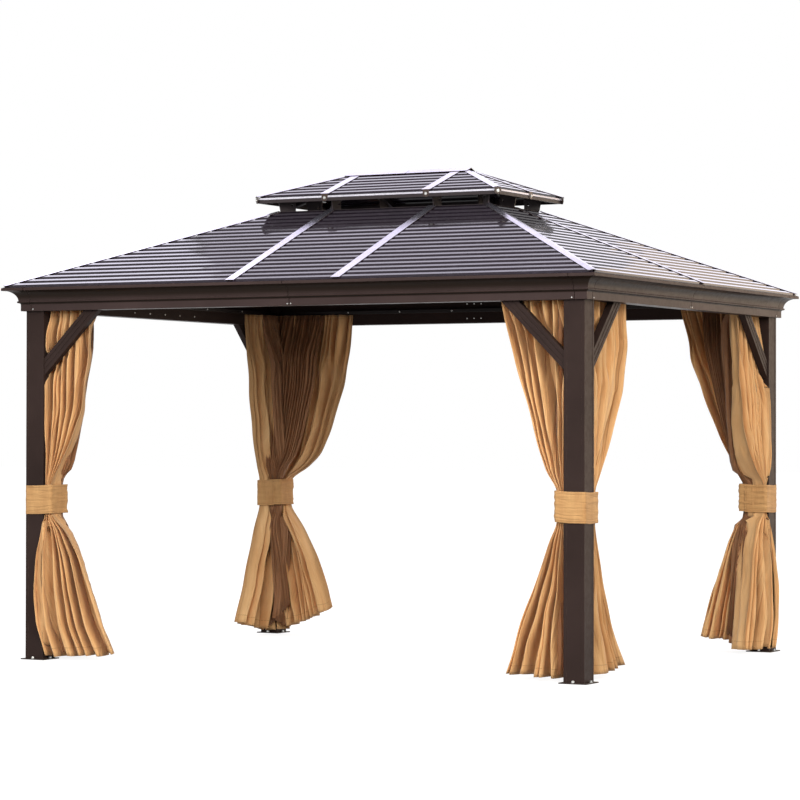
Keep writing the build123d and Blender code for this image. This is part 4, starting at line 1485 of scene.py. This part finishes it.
@dataclass
class Hardware:
    """Bolts, screws and drip edges, placed on the CAD nodes that carry them."""

    plan: Plan
    anchor_circle: float = 0.142
    anchor_turn: float = 0.4
    plate_top: float = 0.006
    tab_z: float = 2.688
    tab_face: float = 0.0042
    upper_half: Pair = (0.794, 0.427)
    ridge_half: float = 0.375
    strip_offset: float = 0.335
    screw_rise: float = 0.010
    cornice_face: float = 0.0241
    seam_gap: float = 0.011
    corner_gap: float = 0.012
    rail_face: float = 0.046
    rail_pitch: Pair = (0.377, 0.42)
    beam_rows: Pair = (0.030, 0.122)
    beam_joint: tuple[float, ...] = (0.19, 0.24, 0.29)
    beam_pitch: float = 0.17
    upper_eave_z: float = 2.7005
    edge_height: float = 0.009
    edge_kick: float = 0.002
    edge_sheet: float = 0.0012

    def finish(self, pattern: bpy.types.Object, name: str, places: list[Matrix], material: bpy.types.Material) -> bpy.types.Object:
        """Copies a pattern to its places and dresses the result.

        Args:
            pattern: Piece modelled at the origin.
            name: Name of the joined piece.
            places: Placement of each copy.
            material: Its finish.

        Returns:
            The piece.
        """
        piece = merge_copies(pattern, name, places)
        piece.data.materials.clear()
        piece.data.materials.append(material)
        set_smooth(piece, 30.0)
        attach(piece, BODY)
        LOG.info("made %s: %d copies", name, len(places))
        return piece

    def anchors(self, zinc: bpy.types.Material) -> None:
        """Hex bolts in the base plates.

        Args:
            zinc: Finish of the heads.
        """
        places = []
        for corner in Corner:
            sign_x, sign_y = corner.signs
            centre = Vector((sign_x * (self.plan.half_x - self.plan.post / 2),
                             sign_y * (self.plan.half_y - self.plan.post / 2), self.plate_top))
            for quarter in range(4):
                turn = Matrix.Rotation(quarter * math.pi / 2, 4, "Z")
                spot = centre + turn @ Vector((self.anchor_circle / 2, 0, 0))
                places.append(Matrix.Translation(spot) @ Matrix.Rotation(self.anchor_turn + quarter, 4, "Z"))
        self.finish(hex_bolt(ANCHOR_BOLT), "anchor_bolts", places, zinc)

    def tab_bolts(self, zinc: bpy.types.Material) -> None:
        """Bolts through the tabs of the upper strips and hip caps.

        Args:
            zinc: Finish of the heads.
        """
        half_x, half_y = self.upper_half
        spots = []
        for sign_x in (-1, 1):
            spots.append((Vector((sign_x * half_x, 0, self.tab_z)), Vector((sign_x, 0, 0))))
            for sign_y in (-1, 1):
                spots.append((Vector((sign_x * self.strip_offset, sign_y * half_y, self.tab_z)),
                              Vector((0, sign_y, 0))))
                way = Vector((sign_x * (half_x - self.ridge_half), sign_y * half_y, 0)).normalized()
                spots.append((Vector((sign_x * half_x, sign_y * half_y, self.tab_z)), way))
        places = [facing(spot + way * self.tab_face, way) for spot, way in spots]
        self.finish(hex_bolt(TAB_BOLT), "tab_bolts", places, zinc)

    def cornice_screws(self, zinc: bpy.types.Material) -> None:
        """Screws beside the cornice seams.

        Args:
            zinc: Finish of the heads.
        """
        low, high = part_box("front_cornice")
        z = low.z + self.screw_rise
        end_x = high.x - self.corner_gap
        end_y = self.plan.half_y - (self.plan.half_x - high.x) - self.corner_gap
        places = []
        for sign in (-1, 1):
            for x in (self.seam_gap, end_x):
                for sign_y in (-1, 1):
                    spot = Vector((sign * x, sign_y * (self.plan.half_y + self.cornice_face), z))
                    places.append(facing(spot, Vector((0, sign_y, 0))))
            for y in (self.seam_gap, end_y):
                for sign_x in (-1, 1):
                    spot = Vector((sign_x * (self.plan.half_x + self.cornice_face), sign * y, z))
                    places.append(facing(spot, Vector((sign_x, 0, 0))))
        self.finish(pan_screw(CORNICE_SCREW), "cornice_screws", places, zinc)

    def rail_screws(self, zinc: bpy.types.Material) -> None:
        """Screws along the inner faces of the curtain rails.

        Args:
            zinc: Finish of the heads.
        """
        x_face = self.plan.half_x - self.plan.post / 2 - self.rail_face
        y_face = self.plan.half_y - self.plan.post / 2 - self.rail_face
        z = self.plan.rail_z + self.screw_rise
        long_pitch, short_pitch = self.rail_pitch
        places = []
        for sign in (-1, 1):
            for step in range(-3, 4):
                places.append(facing(Vector((step * long_pitch, sign * y_face, z)), Vector((0, -sign, 0))))
            for step in range(-2, 3):
                places.append(facing(Vector((sign * x_face, step * short_pitch, z)), Vector((-sign, 0, 0))))
        self.finish(pan_screw(RAIL_SCREW), "rail_screws", places, zinc)

    def beam_screws(self, zinc: bpy.types.Material) -> None:
        """Screws of the joints on the inner faces of the beams.

        Args:
            zinc: Finish of the heads.
        """
        inner = self.plan.post / 2
        rows = [self.plan.beam_z + rise for rise in self.beam_rows]
        joint = [-x for x in reversed(self.beam_joint)] + list(self.beam_joint)
        places = []
        for sign in (-1, 1):
            for x in joint:
                for z in rows:
                    spot = Vector((x, sign * (self.plan.half_y - inner), z))
                    places.append(facing(spot, Vector((0, -sign, 0))))
            for step in range(-2, 3):
                spot = Vector((sign * (self.plan.half_x - inner), step * self.beam_pitch, rows[0]))
                places.append(facing(spot, Vector((-sign, 0, 0))))
        self.finish(pan_screw(BEAM_SCREW), "beam_screws", places, zinc)

    def eave_edge(self, name: str, length: float) -> bpy.types.Object:
        """Models one drip edge along X that looks towards -Y, its foot kicked out.

        Args:
            name: Name of the pattern.
            length: Length of the edge.

        Returns:
            The pattern.
        """
        deselect()
        bpy.ops.mesh.primitive_plane_add(size=1.0)
        pattern = rename(name)
        pattern.scale = (length, self.edge_height, 1.0)
        pattern.rotation_euler = (math.pi / 2, 0.0, 0.0)
        bpy.ops.object.transform_apply(location=False, rotation=True, scale=True)
        bpy.ops.object.mode_set(mode="EDIT")
        bpy.ops.mesh.select_mode(type="EDGE")
        bpy.ops.mesh.select_all(action="DESELECT")
        bpy.ops.object.mode_set(mode="OBJECT")
        points = pattern.data.vertices
        for line in pattern.data.edges:
            line.select = all(points[index].co.z < 0 for index in line.vertices)
        bpy.ops.object.mode_set(mode="EDIT")
        kick = (0, -self.edge_kick, -self.edge_kick)
        bpy.ops.mesh.extrude_region_move(TRANSFORM_OT_translate={"value": kick})
        bpy.ops.object.mode_set(mode="OBJECT")
        apply_modifier(pattern, "SOLIDIFY", thickness=self.edge_sheet, offset=1.0)
        return pattern

    def eave_edges(self, paint: bpy.types.Material) -> None:
        """Drip edges along the four upper eaves.

        Args:
            paint: Finish of the edges.
        """
        _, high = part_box("upper_fascia_long")
        z = self.upper_eave_z - self.edge_height / 2
        for name, length, out, turns in (("upper_long_edges", 2 * high.x, high.y, (0, 180)),
                                         ("upper_short_edges", 2 * high.y, high.x, (90, 270))):
            place = Matrix.Translation((0, -out, z))
            places = [Matrix.Rotation(math.radians(turn), 4, "Z") @ place for turn in turns]
            self.finish(self.eave_edge(f"{name}_pattern", length), name, places, paint)

    def build(self) -> None:
        """Makes all the hardware."""
        zinc = BOLT_ZINC.material()
        self.anchors(zinc)
        self.tab_bolts(zinc)
        self.cornice_screws(zinc)
        self.rail_screws(zinc)
        self.beam_screws(zinc)
        self.eave_edges(EDGE_PAINT_WITH_REFLECTION.material())


# Studio


@dataclass(frozen=True)
class StudioCamera:
    """Camera at the photograph's viewpoint."""

    place: Point = (8.2553, -15.4669, 1.3027)
    azimuth: float = 28.27
    tilt: float = 0.670
    roll: float = 0.105
    lens: float = 133.276
    sensor: float = 36.0
    far: float = 200.0

    def build(self) -> None:
        """Adds the camera and makes it the scene's."""
        deselect()
        bpy.ops.object.camera_add(location=(0, 0, 0))
        camera = bpy.context.object
        camera.name = "photo_camera"
        camera.data.sensor_fit = "HORIZONTAL"
        camera.data.sensor_width = self.sensor
        camera.data.lens = self.lens
        camera.data.clip_end = self.far
        turn = Matrix.Rotation(math.radians(self.azimuth), 4, "Z")
        lift = Matrix.Rotation(math.radians(90 + self.tilt), 4, "X")
        spin = Matrix.Rotation(math.radians(self.roll), 4, "Z")
        camera.matrix_world = Matrix.Translation(self.place) @ turn @ lift @ spin
        bpy.context.scene.camera = camera


@dataclass(frozen=True)
class Softbox:
    """Large lamp that shines at a point."""

    name: str
    place: Point
    aim: Point
    size: Pair
    power: float
    colour: Colour = (1.0, 1.0, 1.0)

    def build(self) -> None:
        """Adds the lamp."""
        deselect()
        bpy.ops.object.light_add(type="AREA", location=self.place)
        lamp = bpy.context.object
        lamp.name = self.name
        lamp.data.shape = "RECTANGLE"
        lamp.data.size, lamp.data.size_y = self.size
        lamp.data.energy = self.power
        lamp.data.color = self.colour
        lamp.visible_camera = False
        way = Vector(self.aim) - Vector(self.place)
        lamp.rotation_euler = way.to_track_quat("-Z", "Y").to_euler()


# Key from the right, a low fill from the front, and panels that the roof and the right side mirror
LAMPS = (
    Softbox("key_right", (12.0, -8.2, 6.3), (0.0, 0.0, 1.2), (5.0, 5.0), 860.0, (1.0, 0.95, 0.86)),
    Softbox("fill_front", (2.0, -13.5, 5.2), (0.0, 0.0, 1.3), (10.0, 5.0), 1050.0),
    Softbox("sky_left", (-8.70, 5.12, 9.02), (-1.2, -1.0, 2.3), (4.5, 5.0), 210.0, (0.84, 0.80, 1.0)),
    Softbox("sky_middle", (-4.9, 7.6, 9.0), (0.2, -0.8, 2.4), (4.6, 4.4), 80.0, (0.80, 0.72, 1.0)),
    Softbox("sky_right", (-3.0, 10.7, 5.5), (1.4, 0.0, 2.4), (5.0, 3.0), 46.0, (0.84, 0.78, 1.0)),
    Softbox("warm_card", (5.0, 7.0, 2.0), (1.8, 0.0, 1.4), (8.0, 5.0), 230.0, (1.0, 0.70, 0.42)),
)


@dataclass(frozen=True)
class Studio:
    """Pale floor, white surround and soft lamps."""

    horizon: float = 0.18
    zenith: float = 1.0
    floor_size: float = 160.0
    floor_drop: float = 0.0005
    floor_colour: Colour = (0.28, 0.28, 0.28)
    floor_rough: float = 0.95
    floor_glow: float = 0.88

    def world(self) -> None:
        """White to the camera and in reflections; as light, soft at the horizon and full overhead."""
        world = bpy.data.worlds.new("studio_surround")
        bpy.context.scene.world = world
        world.use_nodes = True
        wiring = Wiring(world.node_tree)
        output = wiring.node("ShaderNodeOutputWorld")
        background = wiring.node("ShaderNodeBackground")
        path = wiring.node("ShaderNodeLightPath")
        seen = wiring.math("ADD", path.outputs["Is Camera Ray"], path.outputs["Is Glossy Ray"])
        any_seen = wiring.math("ADD", seen, path.outputs["Is Transmission Ray"], clamp=True)
        way = wiring.parts(wiring.node("ShaderNodeTexCoord").outputs["Generated"])
        height = wiring.span(way[2], 0.0, 1.0, self.horizon, self.zenith)
        wiring.feed(background.inputs["Strength"], wiring.span(any_seen, 0.0, 1.0, height, 1.0))
        wiring.feed(background.inputs["Color"], (1, 1, 1, 1))
        wiring.feed(output.inputs["Surface"], background.outputs[0])

    def floor(self) -> None:
        """Large pale floor that keeps the shadow."""
        deselect()
        bpy.ops.mesh.primitive_plane_add(size=self.floor_size, location=(0, 0, -self.floor_drop))
        floor = rename("studio_floor")
        graph = Graph("studio_floor_paint")
        graph.set("Base Color", (*self.floor_colour, 1.0))
        graph.set("Roughness", self.floor_rough)
        graph.set("Specular IOR Level", 0.0)
        graph.set("Emission Color", (1.0, 1.0, 1.0, 1.0))
        path = graph.node("ShaderNodeLightPath")
        seen = graph.math("ADD", path.outputs["Is Camera Ray"], path.outputs["Is Glossy Ray"])
        graph.set("Emission Strength", graph.times(seen, self.floor_glow))
        floor.data.materials.append(graph.material)

    def build(self) -> None:
        """Sets up the studio."""
        self.world()
        self.floor()
        for lamp in LAMPS:
            lamp.build()
        bpy.context.scene.view_settings.view_transform = "Standard"


def main() -> None:
    """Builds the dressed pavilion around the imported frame."""
    logging.basicConfig(level=logging.INFO, format="%(name)s: %(message)s")
    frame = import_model()
    StudioCamera().build()
    Studio().build()
    dress_frame(frame["nodes"])
    plan = Plan.read()
    for number, corner in enumerate(Corner):
        curtains = CurtainSet(corner, plan, CURTAIN_SEEDS[0] + CURTAIN_SEEDS[1] * number)
        curtains.build()
        band = TieBand(corner, plan, BAND_SEEDS[0] + BAND_SEEDS[1] * number).build()
        for piece in (*curtains.sheets, band):
            LOG.info("made %s: %d faces", piece.name, len(piece.data.polygons))
    Hardware(plan).build()


if __name__ == "__main__":
    main()
